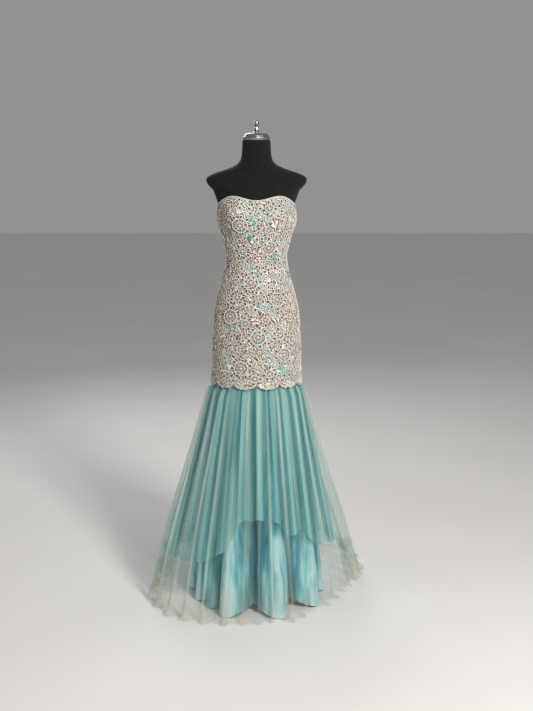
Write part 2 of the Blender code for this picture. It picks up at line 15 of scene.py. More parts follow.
import bpy
import numpy as np
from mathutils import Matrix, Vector


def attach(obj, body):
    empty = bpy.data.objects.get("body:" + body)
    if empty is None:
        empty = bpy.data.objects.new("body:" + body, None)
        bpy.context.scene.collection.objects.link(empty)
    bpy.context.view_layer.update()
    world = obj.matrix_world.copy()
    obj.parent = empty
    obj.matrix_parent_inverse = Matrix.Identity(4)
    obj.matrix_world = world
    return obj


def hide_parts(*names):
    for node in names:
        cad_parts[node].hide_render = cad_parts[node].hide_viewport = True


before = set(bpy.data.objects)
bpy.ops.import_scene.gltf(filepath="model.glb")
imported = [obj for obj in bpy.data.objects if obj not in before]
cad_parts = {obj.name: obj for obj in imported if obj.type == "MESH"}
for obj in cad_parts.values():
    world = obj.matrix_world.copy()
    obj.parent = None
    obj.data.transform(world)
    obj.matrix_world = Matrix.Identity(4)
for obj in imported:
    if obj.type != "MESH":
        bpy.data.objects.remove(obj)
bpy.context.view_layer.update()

LOG = logging.getLogger("gown")

Array = np.ndarray
Colour = tuple[float, float, float]
Table = tuple[tuple[float, ...], ...]
Laid = tuple[Array, Array, Array]
Socket = bpy.types.NodeSocket


class Body(Enum):
    """Bodies of the CAD model."""

    GOWN = "gown_and_form"
    PULL = "pull_tab"


class Slot(Enum):
    """Material slots of the part."""

    LACE = "lace"
    SATIN = "satin_aqua"
    AQUA_TULLE = "tulle_aqua"
    CHAMPAGNE_TULLE = "tulle_champagne"
    JERSEY = "form_jersey"
    BRIGHT = "bright_metal"
    BLACK = "black_metal"


class Hold(Enum):
    """How a sheet of cloth is held."""

    STRETCHED = "stretched"
    GATHERED = "gathered"
    HUNG = "hung"


# Curves and tables.


def ease(x: Array) -> Array:
    """Smooth step from 0 to 1."""
    x = np.clip(x, 0.0, 1.0)
    return x * x * (3.0 - 2.0 * x)


def smooth_rows(table: Table, at: Array) -> Array:
    """Reads a table on a smooth curve through its rows.

    Args:
        table: Rows of (place, value, ...), places rising.
        at: Places to read at.

    Returns:
        The values, with one more axis than the places.
    """
    rows = np.asarray(table, float)
    places = rows[:, 0]
    at = np.clip(at, places[0], places[-1])
    i = np.clip(np.searchsorted(places, at, side="right") - 1, 0, len(rows) - 2)
    here, after = rows[i], rows[i + 1]
    before, beyond = rows[np.maximum(i - 1, 0)], rows[np.minimum(i + 2, len(rows) - 1)]
    step = after[..., :1] - here[..., :1]
    x = (at[..., None] - here[..., :1]) / step
    slope_here = (after - before) / np.maximum(after[..., :1] - before[..., :1], 1e-9) * step
    slope_after = (beyond - here) / np.maximum(beyond[..., :1] - here[..., :1], 1e-9) * step
    values = (
        (2 * x**3 - 3 * x**2 + 1) * here
        + (x**3 - 2 * x**2 + x) * slope_here
        + (-2 * x**3 + 3 * x**2) * after
        + (x**3 - x**2) * slope_after
    )
    return values[..., 1:]


def turned(degrees: Array) -> Array:
    """Directions as -180 to 180 degrees."""
    return (np.asarray(degrees) + 180.0) % 360.0 - 180.0


def round_rows(table: Table, degrees: Array) -> Array:
    """Reads a table of directions on a smooth closed curve.

    Args:
        table: Rows of (direction, value, ...), directions rising.
        degrees: Directions to read at.

    Returns:
        The values, with one more axis than the directions.
    """
    rows = np.asarray(table, float)
    laps = [rows + np.array([lap] + [0.0] * (rows.shape[1] - 1)) for lap in (-360.0, 0.0, 360.0)]
    return smooth_rows(np.vstack(laps), turned(degrees))


def direction_of(degrees: Array) -> tuple[Array, Array]:
    """Share of +X and of +Y of each direction."""
    angle = np.radians(degrees)
    return np.sin(angle), -np.cos(angle)


def unit(vectors: Array) -> Array:
    """Vectors of length 1."""
    return vectors / np.maximum(np.linalg.norm(vectors, axis=-1, keepdims=True), 1e-12)


def unevenness(degrees: Array, waves: Table) -> Array:
    """Sum of a few waves round the body.

    Args:
        degrees: Directions.
        waves: Rows of (turns per lap, strength, phase).

    Returns:
        One number for each direction.
    """
    turn = np.radians(degrees)
    return sum(strength * np.sin(count * turn + phase) for count, strength, phase in waves)


# The gown's measures.


@dataclass(frozen=True)
class BodyShape:
    """Middle surface of the sheath, from the sweetheart edge to the scallops."""

    sections: Table = (
        # z, half_width, front, back
        (0.780, 0.1670, 0.135, 0.134),
        (0.860, 0.1580, 0.122, 0.126),
        (0.940, 0.1565, 0.114, 0.126),
        (1.020, 0.1515, 0.108, 0.121),
        (1.090, 0.1435, 0.104, 0.111),
        (1.150, 0.1290, 0.098, 0.097),
        (1.210, 0.1120, 0.090, 0.084),
        (1.262, 0.1045, 0.086, 0.079),
        (1.312, 0.1145, 0.090, 0.084),
        (1.355, 0.1270, 0.098, 0.090),
        (1.400, 0.1370, 0.106, 0.096),
        (1.440, 0.1340, 0.102, 0.096),
        (1.490, 0.1330, 0.088, 0.092),
    )
    scallops: int = 12
    scallop_bottom: float = 0.806
    scallop_depth: float = 0.018
    dip: float = 1.464
    peak: float = 1.478
    side: float = 1.446
    back: float = 1.405
    peak_deg: float = 36.0
    cup_deg: float = 34.0
    cup_half_deg: float = 30.0
    cup_z: float = 1.408
    cup_half_height: float = 0.095
    cup_depth: float = 0.020

    def point(self, degrees: Array, z: Array) -> Array:
        """Points of the surface, bust cups and all.

        Args:
            degrees: Directions.
            z: Heights.

        Returns:
            Points.
        """
        values = smooth_rows(self.sections, z)
        across, along = direction_of(degrees)
        reach = np.where(along < 0, values[..., 1], values[..., 2])
        off = np.hypot(
            (np.abs(turned(degrees)) - self.cup_deg) / self.cup_half_deg,
            (z - self.cup_z) / self.cup_half_height,
        )
        out = np.where(off < 1.0, self.cup_depth * (0.5 + 0.5 * np.cos(math.pi * off)), 0.0)
        x = values[..., 0] * across + out * across * 0.6
        return np.stack([x, reach * along + out * along, z], axis=-1)

    def frame_at(self, degrees: Array, z: Array) -> tuple[Array, Array, Array]:
        """Local measures of the surface.

        Args:
            degrees: Directions.
            z: Heights.

        Returns:
            Outward normals, metres for each degree round, and metres for each metre of height.
        """
        turn, rise = 0.25, 0.001
        across = (self.point(degrees + turn, z) - self.point(degrees - turn, z)) / (2 * turn)
        up = (self.point(degrees, z + rise) - self.point(degrees, z - rise)) / (2 * rise)
        return (
            unit(np.cross(across, up)),
            np.linalg.norm(across, axis=-1),
            np.linalg.norm(up, axis=-1),
        )

    def raised(self, degrees: Array, z: Array, height: Array) -> Array:
        """Points at a height off the surface."""
        normals = self.frame_at(degrees, z)[0]
        return self.point(degrees, z) + normals * np.asarray(height)[..., None]

    def neckline(self, degrees: Array) -> Array:
        """Height of the sweetheart edge.

        Args:
            degrees: Directions.

        Returns:
            Heights.
        """
        side = np.abs(turned(degrees))
        front = self.dip + (self.peak - self.dip) * ease(side / self.peak_deg)
        flank = self.peak + (self.side - self.peak) * ease(
            (side - self.peak_deg) / (90.0 - self.peak_deg)
        )
        rear = self.side + (self.back - self.side) * ease((side - 90.0) / 90.0)
        return np.where(side < self.peak_deg, front, np.where(side < 90.0, flank, rear))

    def scalloped_edge(self, degrees: Array) -> Array:
        """Height of the lace's lower edge, one arc for each scallop.

        Args:
            degrees: Directions.

        Returns:
            Heights.
        """
        place = (np.asarray(degrees) * self.scallops / 360.0) % 1.0
        arc = np.sqrt(np.maximum(1.0 - (2.0 * place - 1.0) ** 2, 0.0))
        return self.scallop_bottom + self.scallop_depth * (1.0 - arc)


@dataclass(frozen=True)
class GatherPlan:
    """Uneven gathers of one skirt, from the sewn seam down to the hem."""

    count: int
    seed: int
    wave_front: float
    wave_back: float
    fine_count: int
    fine_front: float
    fine_back: float
    at_seam: float = 0.0009
    strength: tuple[float, float] = (0.6, 1.4)
    drift_deg: float = 1.6
    warp: Table = ((3, 2.2, 0.4), (5, 1.6, 1.3), (11, 0.9, 4.0), (23, 0.4, 2.2), (41, 0.16, 0.6))

    def wave(self, degrees: Array, share: Array, z: Array) -> Array:
        """How far the cloth stands out or in.

        Args:
            degrees: Directions.
            share: Share of the way from the seam to the floor outline.
            z: Heights.

        Returns:
            Metres outward at each place.
        """
        chance = np.random.default_rng(self.seed)
        strengths = chance.uniform(*self.strength, self.count)
        drifts = chance.uniform(-self.drift_deg, self.drift_deg, self.count)
        each = 360.0 / self.count
        columns = np.arange(4 * self.count + 1)
        real = columns * each / 4 + np.append(np.repeat(drifts, 4), drifts[0])
        lap = degrees % 360.0
        column = np.interp(lap, real, columns, period=None)
        column = np.where(lap < real[0], lap / (each / 4), column)
        places = np.append(np.arange(self.count) + 0.5, self.count + 0.5) * 4
        strong = np.interp(column, places, np.append(strengths, strengths[0]))
        back = (1.0 - np.cos(np.radians(degrees))) / 2.0
        main = np.sin(2 * math.pi * (column + 0.5) / 4) * math.sqrt(2.0)
        full = strong * (self.wave_front + (self.wave_back - self.wave_front) * back)
        warped = degrees + unevenness(degrees, self.warp)
        patch = 0.55 + 0.45 * np.sin(np.radians(7 * degrees) + 0.7 + 5.0 * z)
        turn = np.radians(warped)
        fine = 0.6 * np.sin(self.fine_count * turn) + 0.4 * np.sin(0.61 * self.fine_count * turn)
        fine = fine * patch
        fine_full = self.fine_front + (self.fine_back - self.fine_front) * back
        return main * (self.at_seam * (1 - share) + full * share) + fine * fine_full * share


@dataclass(frozen=True)
class SkirtShape:
    """What all three skirts share: the seam ring under the lace, and the way they spread."""

    body: BodyShape
    top: float = 0.836
    sections: Table = (
        # z, front, side, back shares of the way to the floor outline
        (0.8360, 0.000, 0.000, 0.000),
        (0.8060, 0.000, 0.000, 0.000),
        (0.7820, 0.075, 0.085, 0.030),
        (0.7200, 0.160, 0.165, 0.080),
        (0.5900, 0.310, 0.320, 0.185),
        (0.4300, 0.480, 0.520, 0.310),
        (0.2700, 0.640, 0.720, 0.450),
        (0.1100, 0.790, 0.880, 0.620),
        (0.0250, 0.900, 0.955, 0.800),
        (0.0016, 1.000, 1.000, 1.000),
    )

    def share_towards(self, degrees: Array, values: Array) -> Array:
        """The share at each direction, from those at the front, the sides and the back.

        Args:
            degrees: Directions.
            values: Shares at the front, the sides and the back.

        Returns:
            Shares.
        """
        aside = np.sin(np.radians(degrees)) ** 2
        ahead = np.where(np.cos(np.radians(degrees)) > 0, values[..., 0], values[..., 2])
        return np.maximum(values[..., 1] * aside + ahead * (1.0 - aside), 0.0)

    def spread(
        self, degrees: Array, inset: float, radius: Array, share: Array, z: Array, wave: Array
    ) -> Array:
        """Points part of the way from the seam ring to the floor outline.

        Args:
            degrees: Directions.
            inset: Distance of the seam ring inside the sheath's middle surface.
            radius: Reach of the floor outline.
            share: Share of the way.
            z: Heights.
            wave: Gathers, as metres outward.

        Returns:
            One point for each place.
        """
        ring = self.body.point(degrees, np.full_like(degrees, self.top))
        start = ring[..., :2] * (1 - inset / np.linalg.norm(ring[..., :2], axis=-1))[..., None]
        end = np.stack(direction_of(degrees), axis=-1) * radius[..., None]
        flat = start * (1 - share)[..., None] + end * share[..., None]
        flat = flat + unit(flat) * wave[..., None]
        return np.concatenate([flat, z[..., None]], axis=-1)


# Modelling by hand.


def clear_selection() -> None:
    """Deselects everything in object mode."""
    if bpy.context.object and bpy.context.object.mode != "OBJECT":
        bpy.ops.object.mode_set(mode="OBJECT")
    bpy.ops.object.select_all(action="DESELECT")


def active_piece(name: str) -> bpy.types.Object:
    """Names the object that was just added.

    Args:
        name: Its new name.

    Returns:
        The object.
    """
    piece = bpy.context.object
    piece.name = name
    piece.data.name = name
    return piece


def apply_modifier(piece: bpy.types.Object, kind: str, **settings: object) -> None:
    """Adds a modifier with its settings and applies it.

    Args:
        piece: Object to change.
        kind: Modifier type.
        **settings: Values for the modifier's own properties.
    """
    clear_selection()
    piece.select_set(True)
    bpy.context.view_layer.objects.active = piece
    modifier = piece.modifiers.new(kind.lower(), kind)
    for key, value in settings.items():
        setattr(modifier, key, value)
    bpy.ops.object.modifier_apply(modifier=modifier.name)


def shade_soft(piece: bpy.types.Object, degrees: float = 60.0) -> None:
    """Shades a piece smooth, but for its sharp edges.

    Args:
        piece: The piece.
        degrees: Edges sharper than this stay sharp.
    """
    clear_selection()
    piece.select_set(True)
    bpy.context.view_layer.objects.active = piece
    bpy.ops.object.shade_smooth_by_angle(angle=math.radians(degrees))


def set_tone(mesh: bpy.types.Mesh, tone: Array) -> None:
    """Stores how raised each point is, 0 in a hollow and 1 on a crest, for the materials."""
    store = mesh.attributes.new("tone", "FLOAT", "POINT")
    store.data.foreach_set("value", np.clip(tone, 0.0, 1.0).astype(np.float32))


def lay_sheet(
    name: str, columns: int, rows: int, place: Callable[[Array, Array], Laid]
) -> bpy.types.Object:
    """Adds a flat grid of cloth and shapes it on the body.

    Args:
        name: Name of the piece.
        columns: Squares across.
        rows: Squares from the lower edge to the upper.
        place: Gives points, cloth coordinates and tone for shares across and up.

    Returns:
        The shaped sheet, its faces to the outside.
    """
    clear_selection()
    bpy.ops.mesh.primitive_grid_add(
        x_subdivisions=columns, y_subdivisions=rows, size=2.0, calc_uvs=True
    )
    piece = active_piece(name)
    mesh = piece.data
    flat = np.empty(len(mesh.vertices) * 3)
    mesh.vertices.foreach_get("co", flat)
    flat = flat.reshape(-1, 3) / 2 + 0.5
    points, cloth, tone = place(np.round(flat[:, 0], 7), np.round(flat[:, 1], 7))
    mesh.vertices.foreach_set("co", points.ravel())
    set_tone(mesh, tone)
    corners = np.empty(len(mesh.loops), int)
    mesh.loops.foreach_get("vertex_index", corners)
    mesh.uv_layers[0].name = "cloth"
    mesh.uv_layers[0].data.foreach_set("uv", cloth[corners].ravel())
    mesh.update()
    return piece


def ribbon_faces(lines: int, steps: int, upwards: bool = True) -> list[tuple[int, ...]]:
    """Faces between parallel lines of points.

    Args:
        lines: Number of lines.
        steps: Faces along each line.
        upwards: Whether each line lies above the one before it, seen from outside.

    Returns:
        Faces as indices into the lines' points, one line after another.
    """
    wide = steps + 1
    faces = [
        (r * wide + k, r * wide + k + 1, (r + 1) * wide + k + 1, (r + 1) * wide + k)
        for r in range(lines - 1)
        for k in range(steps)
    ]
    return faces if upwards else [(a, d, c, b) for a, b, c, d in faces]


@dataclass
class Stitchwork:
    """Gathers the points and faces of many small copies into one mesh."""

    points: list[Array] = field(default_factory=list)
    tones: list[Array] = field(default_factory=list)
    faces: list[tuple[int, ...]] = field(default_factory=list)
    count: int = 0

    def add(
        self, points: Array, faces: list[tuple[int, ...]], tone: Array | float = 1.0
    ) -> None:
        """Adds one shape.

        Args:
            points: Its points.
            faces: Its faces, as indices into the points.
            tone: How raised each point is, from 0 to 1.
        """
        self.points.append(points)
        self.tones.append(np.broadcast_to(tone, len(points)))
        self.faces.extend([tuple(int(i) + self.count for i in face) for face in faces])
        self.count += len(points)

    def piece(self, name: str) -> bpy.types.Object:
        """Makes one object of all the shapes.

        Args:
            name: Name of the piece.

        Returns:
            The object.
        """
        mesh = bpy.data.meshes.new(name)
        mesh.from_pydata(np.vstack(self.points).tolist(), [], self.faces)
        mesh.update()
        set_tone(mesh, np.concatenate(self.tones))
        piece = bpy.data.objects.new(name, mesh)
        bpy.context.scene.collection.objects.link(piece)
        mesh.shade_smooth()
        return piece


# Finishes.


class Shader:
    """A Principled material and the nodes that feed it."""

    def __init__(self, name: str) -> None:
        """Starts a material with that name.

        Args:
            name: Name of the material.
        """
        self.material = bpy.data.materials.new(name)
        self.material.use_nodes = True
        self.tree = self.material.node_tree
        self.main = self.tree.nodes["Principled BSDF"]

    def node(
        self, kind: str, settings: dict | None = None, **inputs: object
    ) -> bpy.types.ShaderNode:
        """Adds a node.

        Args:
            kind: Node type without its prefix.
            settings: Properties of the node.
            **inputs: Sockets by name, with a value or another socket for each.

        Returns:
            The node.
        """
        node = self.tree.nodes.new("ShaderNode" + kind)
        for key, value in (settings or {}).items():
            setattr(node, key, value)
        for key, value in inputs.items():
            self.feed(node.inputs[key.replace("_", " ")], value)
        return node

    def feed(self, socket: bpy.types.NodeSocket, value: object) -> None:
        """Links or sets one socket.

        Args:
            socket: The socket to fill.
            value: A number, colour or socket.
        """
        if isinstance(value, bpy.types.NodeSocket):
            self.tree.links.new(value, socket)
        else:
            socket.default_value = value

    def set(self, **values: object) -> None:
        """Sets or links sockets of the Principled shader by name."""
        for key, value in values.items():
            self.feed(self.main.inputs[key.replace("_", " ")], value)

    def space(self, scale: tuple[float, float, float], cloth: bool = False) -> Socket:
        """Object coordinates, or the piece's own cloth coordinates, at a scale.

        Args:
            scale: Scale along each axis.
            cloth: Whether to follow the cloth.

        Returns:
            Coordinates.
        """
        if cloth:
            source = self.node("UVMap", {"uv_map": "cloth"}).outputs["UV"]
        else:
            source = self.node("TexCoord").outputs["Object"]
        return self.node("Mapping", Vector=source, Scale=scale).outputs["Vector"]

    def noise(
        self, space: Socket, scale: float, detail: float = 3.0, rough: float = 0.5
    ) -> Socket:
        """Noise as one number."""
        node = self.node("TexNoise", Vector=space, Scale=scale, Detail=detail, Roughness=rough)
        return node.outputs["Fac"]

    def tone(self) -> Socket:
        """How raised the surface is, from 0 to 1."""
        return self.node("Attribute", {"attribute_name": "tone"}).outputs["Fac"]

    def swirls(self, space: Socket, scale: float, wander: float, size: float) -> Socket:
        """Wandering parallel bands as one number.

        Args:
            space: Coordinates.
            scale: How fine the bands are.
            wander: How far they stray.
            size: How fine their straying is.

        Returns:
            A number from 0 to 1.
        """
        node = self.node(
            "TexWave", {"bands_direction": "DIAGONAL"}, Vector=space, Scale=scale,
            Distortion=wander, Detail=1.0, Detail_Scale=size,
        )
        return node.outputs["Fac"]

    def cells(self, space: Socket, scale: float) -> Socket:
        """Distance to the nearest of many cell centres."""
        return self.node("TexVoronoi", Vector=space, Scale=scale).outputs["Distance"]

    def bands(
        self, space: Socket, scale: float, way: str = "X", wander: float = 0.0
    ) -> Socket:
        """Regular bands as one number.

        Args:
            space: Coordinates.
            scale: How fine the bands are.
            way: Axis across them.
            wander: How far they stray.

        Returns:
            A number from 0 to 1.
        """
        node = self.node(
            "TexWave", {"bands_direction": way}, Vector=space, Scale=scale, Distortion=wander
        )
        return node.outputs["Fac"]

    def ramp(self, factor: Socket, stops: tuple[tuple[float, Colour], ...]) -> Socket:
        """Colours along a ramp.

        Args:
            factor: Place on the ramp.
            stops: Places and colours.

        Returns:
            The colour.
        """
        node = self.node("ValToRGB", Fac=factor)
        ramp = node.color_ramp
        while len(ramp.elements) < len(stops):
            ramp.elements.new(0.5)
        for element, (place, colour) in zip(ramp.elements, stops):
            element.position = place
            element.color = (*colour, 1.0)
        return node.outputs["Color"]

    def levels(
        self, factor: Socket, low: float, high: float, frm: float = 0.0, to: float = 1.0
    ) -> Socket:
        """A number moved from one range to another, and kept in it.

        Args:
            factor: The number.
            low: Result at frm.
            high: Result at to.
            frm: Start of its range.
            to: End of its range.

        Returns:
            The moved number.
        """
        node = self.node("MapRange", {"clamp": True}, Value=factor)
        for key, value in zip(("From Min", "From Max", "To Min", "To Max"), (frm, to, low, high)):
            node.inputs[key].default_value = value
        return node.outputs["Result"]

    def reckon(self, how: str, first: object, second: object) -> Socket:
        """One sum of two numbers.

        Args:
            how: Name of the operation.
            first: First number.
            second: Second number.

        Returns:
            The result.
        """
        node = self.node("Math", {"operation": how})
        self.feed(node.inputs[0], first)
        self.feed(node.inputs[1], second)
        return node.outputs[0]

    def mix(self, factor: object, first: object, second: object) -> Socket:
        """A mix of two colours.

        Args:
            factor: Share of the second.
            first: First colour.
            second: Second colour.

        Returns:
            The colour.
        """
        node = self.node("Mix", {"data_type": "RGBA"})
        self.feed(node.inputs[0], factor)
        self.feed(node.inputs[6], first)
        self.feed(node.inputs[7], second)
        return node.outputs[2]

    def bump(self, height: object, depth: float, strength: float = 0.6) -> None:
        """Raises the surface by a number, on top of any bump that is already there.

        Args:
            height: The number.
            depth: Depth in metres.
            strength: Strength of the relief.
        """
        node = self.node("Bump", Height=height, Distance=depth, Strength=strength)
        under = self.main.inputs["Normal"]
        if under.is_linked:
            self.feed(node.inputs["Normal"], under.links[0].from_socket)
        self.feed(under, node.outputs["Normal"])


@dataclass(frozen=True)
class LaceCord:
    """Ivory rayon cord, plied, with painted shade: pinkish brown in its hollows and near black at
    its foot, where the light doesn't reach.
    """

    name: str = "ivory_cord"
    light: Colour = (0.97, 0.92, 0.84)
    middle: Colour = (0.86, 0.77, 0.68)
    # Painted shade: colour of the cord's hollows, where the light doesn't reach.
    hollow: Colour = (0.22, 0.155, 0.125)
    # Painted shade: near black where each shape meets the cloth.
    foot: Colour = (0.035, 0.027, 0.024)
    roughness: float = 0.55
    patch_scale: float = 30.0
    # Tone range over which the painted shade gives way to the cord's own colour.
    crest: tuple[float, float] = (0.34, 0.76)
    ply_scale: float = 260.0
    ply_depth: float = 0.0004

    def make(self) -> bpy.types.Material:
        """The finished material.

        Returns:
            The material.
        """
        shader = Shader(self.name)
        patch = shader.noise(shader.space((1, 1, 1)), self.patch_scale, 4.0, 0.6)
        crown = shader.ramp(patch, ((0.36, self.middle), (0.60, self.light)))
        tone = shader.tone()
        # Painted shade by the tone attribute: near black at each shape's foot, pinkish brown in its
        # hollows.
        low = shader.ramp(tone, ((0.04, self.foot), (0.35, self.hollow)))
        raised = shader.levels(tone, 0.0, 1.0, *self.crest)
        ply = shader.bands(shader.space((1, 1, 0.6)), self.ply_scale, "DIAGONAL", 1.5)
        shader.set(
            Base_Color=shader.mix(raised, low, crown),
            Roughness=shader.levels(patch, self.roughness + 0.1, self.roughness - 0.1),
            Sheen_Weight=0.25,
            Sheen_Roughness=0.4,
        )
        shader.bump(ply, self.ply_depth, 0.5)
        return shader.material


@dataclass(frozen=True)
class NetOverSatin:
    """Aqua satin under champagne net, with low wandering cords between the motifs.

    The dark net colour is painted shade in the gaps between the raised motifs. The satin shows
    through where broad random patches are light and, as painted light, more towards the wearer's
    left, the lit side.
    """

    name: str = "net_over_satin"
    satin: Colour = (0.05, 0.21, 0.23)
    satin_light: Colour = (0.15, 0.42, 0.42)
    # Painted shade: the dark gaps between the raised motifs.
    net: Colour = (0.100, 0.075, 0.062)
    cord: Colour = (0.84, 0.76, 0.66)
    patch_scale: float = 13.0
    # Painted light: less gap shade and more satin towards +X, the lit side.
    lit_side_gain: float = 0.45
    gap_shade_range: tuple[float, float] = (0.44, 0.56)
    cord_thins: tuple[float, float] = (0.58, 0.68)
    cord_edge: tuple[float, float] = (0.50, 0.76)
    cord_scale: float = 46.0
    cord_wander: float = 16.0
    cord_depth: float = 0.0016
    mesh_scale: float = 520.0
    mesh_depth: float = 0.0002

    def make(self) -> bpy.types.Material:
        """The finished material.

        Returns:
            The material.
        """
        shader = Shader(self.name)
        space = shader.space((1, 1, 1))
        broad = shader.noise(space, self.patch_scale, 3.0, 0.6)
        satin = shader.ramp(
            shader.noise(space, 9.0), ((0.35, self.satin), (0.65, self.satin_light))
        )
        across = shader.node("SeparateXYZ", Vector=space).outputs["X"]
        # Broad random patches, lifted towards the lit side (+X) as painted light.
        lit = shader.reckon("ADD", broad, shader.reckon("MULTIPLY", across, self.lit_side_gain))
        # Share of the painted gap shade, less where lit.
        gap_shade = shader.levels(lit, 0.95, 0.10, *self.gap_shade_range)
        under = shader.mix(gap_shade, satin, (*self.net, 1.0))
        swirl = shader.swirls(space, self.cord_scale, self.cord_wander, 0.75)
        here = shader.levels(lit, 1.0, 0.30, *self.cord_thins)
        cords = shader.levels(swirl, 0.0, 1.0, *self.cord_edge)
        crest = shader.reckon("MULTIPLY", cords, here)
        shader.set(
            Base_Color=shader.mix(crest, under, (*self.cord, 1.0)),
            Roughness=shader.levels(crest, 0.42, 0.65),
            Sheen_Weight=0.2,
        )
        shader.bump(crest, self.cord_depth, 0.8)
        shader.bump(shader.cells(space, self.mesh_scale), self.mesh_depth, 0.4)
        return shader.material


@dataclass(frozen=True)
class Satin:
    """Aqua satin with painted light and shade: lighter along its folds and deep in its valleys,
    with painted sheen streaks, lighter near the hem and darker higher up, and a fine warp.
    """

    name: str = "aqua_satin"
    # Painted shade in the valleys, through painted light on the crests, to a painted highlight.
    deep: Colour = (0.016, 0.120, 0.160)
    middle: Colour = (0.075, 0.330, 0.380)
    light: Colour = (0.260, 0.620, 0.660)
    painted_highlight: Colour = (0.520, 0.800, 0.830)
    roughness: float = 0.24
    streak_scale: float = 34.0
    streak_length: float = 0.14
    # Painted sheen: streaks of light and shade at random along the fall.
    painted_sheen_lift: tuple[float, float] = (-0.36, 0.32)
    # Painted light: lighter near the hem and darker higher up.
    painted_hem_lift: float = 0.16
    hem_heights: tuple[float, float] = (0.04, 0.34)
    crush_scale: float = 24.0
    crush_depth: float = 0.0060
    warp_scale: float = 1100.0
    warp_depth: float = 0.0002

    def make(self) -> bpy.types.Material:
        """The finished material.

        Returns:
            The material.
        """
        shader = Shader(self.name)
        long = shader.space((1, 1, self.streak_length))
        streak = shader.noise(long, self.streak_scale, 2.0, 0.5)
        slub = shader.noise(shader.space((900, 14, 1), cloth=True), 1.0, 2.0)
        height = shader.node("SeparateXYZ", Vector=shader.space((1, 1, 1))).outputs["Z"]
        # Painted light, lighter near the hem and darker higher up.
        painted_hem_light = shader.levels(height, self.painted_hem_lift, -self.painted_hem_lift, *self.hem_heights)
        lit = shader.levels(streak, *self.painted_sheen_lift, 0.32, 0.68)
        # Colour by painted light and shade: crests lighter and valleys darker by the tone, with
        # sheen streaks and light near the hem.
        raised = shader.reckon("ADD", shader.tone(), lit)
        raised = shader.reckon("ADD", raised, painted_hem_light)
        colour = shader.ramp(
            raised,
            ((0.08, self.deep), (0.46, self.middle), (0.78, self.light), (0.96, self.painted_highlight)),
        )
        crush = shader.noise(shader.space((1, 1, 0.40)), self.crush_scale, 4.0, 0.55)
        shader.set(
            Base_Color=colour,
            Metallic=0.35,
            Roughness=shader.levels(slub, self.roughness + 0.06, self.roughness - 0.05),
            Specular_IOR_Level=0.8,
            Sheen_Weight=0.35,
            Sheen_Roughness=0.35,
        )
        warp = shader.bands(shader.space((1, 1, 1), cloth=True), self.warp_scale)
        shader.bump(crush, self.crush_depth, 0.45)
        shader.bump(warp, self.warp_depth, 0.25)
        return shader.material


@dataclass(frozen=True)
class Tulle:
    """Fine net, see-through between its gathers, and denser along them and near the floor. Its
    colour carries painted light and shade: lighter on the gathers' outward crests, with a painted
    highlight where the cloth lies doubled, and darker in their valleys.
    """

    name: str
    # Painted light on the outward crests and painted shade in the valleys, with random lines
    # between.
    light: Colour
    dark: Colour
    clear: float
    dense: float
    lines: float
    # Painted highlight where the cloth lies doubled on a crest; the same mask makes the veil denser
    # there.
    doubled_and_highlit: Colour
    doubled_and_highlit_at: tuple[float, float]
    floor_share: float = 0.0
    floor_tint: Colour = (0.50, 0.44, 0.34)
    floor_heights: tuple[float, float] = (0.01, 0.16)
    sheen: float = 0.35
    mesh_scale: float = 700.0
    mesh_depth: float = 0.0002

    def make(self) -> bpy.types.Material:
        """The finished material.

        Returns:
            The material.
        """
        shader = Shader(self.name)
        fine = shader.noise(shader.space((self.lines, 1.8, 1), cloth=True), 1.0, 3.0, 0.6)
        broad = shader.noise(shader.space((self.lines / 9, 1.1, 1), cloth=True), 1.0, 2.0)
        # Painted light and shade by the gathers: lines lighter on outward crests and darker in
        # valleys.
        along = shader.levels(shader.tone(), 0.86, 1.14, 0.2, 0.9)
        soft = shader.levels(fine, 0.38, 0.62)
        streak = shader.reckon("MULTIPLY", soft, shader.levels(broad, 0.62, 1.38, 0.3, 0.7))
        streak = shader.reckon("MULTIPLY", streak, along)
        height = shader.node("SeparateXYZ", Vector=shader.space((1, 1, 1))).outputs["Z"]
        near_floor = shader.levels(height, self.floor_share, 0.0, *self.floor_heights)
        # Where the cloth lies doubled on a crest: a painted highlight and a denser veil.
        doubled_and_highlit = shader.levels(shader.tone(), 0.0, 0.5, *self.doubled_and_highlit_at)
        # Net colour from the lines, with painted shade in the valleys and painted light on the
        # crests.
        net = shader.ramp(streak, ((0.36, self.dark), (0.70, self.light)))
        net = shader.mix(doubled_and_highlit, net, (*self.doubled_and_highlit, 1.0))
        veil = shader.levels(streak, self.clear, self.dense, 0.40, 0.84)
        veil = shader.reckon("ADD", veil, shader.levels(doubled_and_highlit, 0.0, 0.22))
        shader.set(
            Base_Color=shader.mix(near_floor, net, (*self.floor_tint, 1.0)),
            Alpha=shader.reckon("ADD", veil, shader.levels(near_floor, 0.0, 0.16)),
            Roughness=shader.levels(fine, 0.55, 0.75),
            Specular_IOR_Level=0.3,
            Sheen_Weight=self.sheen,
            Sheen_Roughness=0.5,
        )
        shader.bump(shader.cells(shader.space((1, 1, 1)), self.mesh_scale), self.mesh_depth, 0.3)
        return shader.material


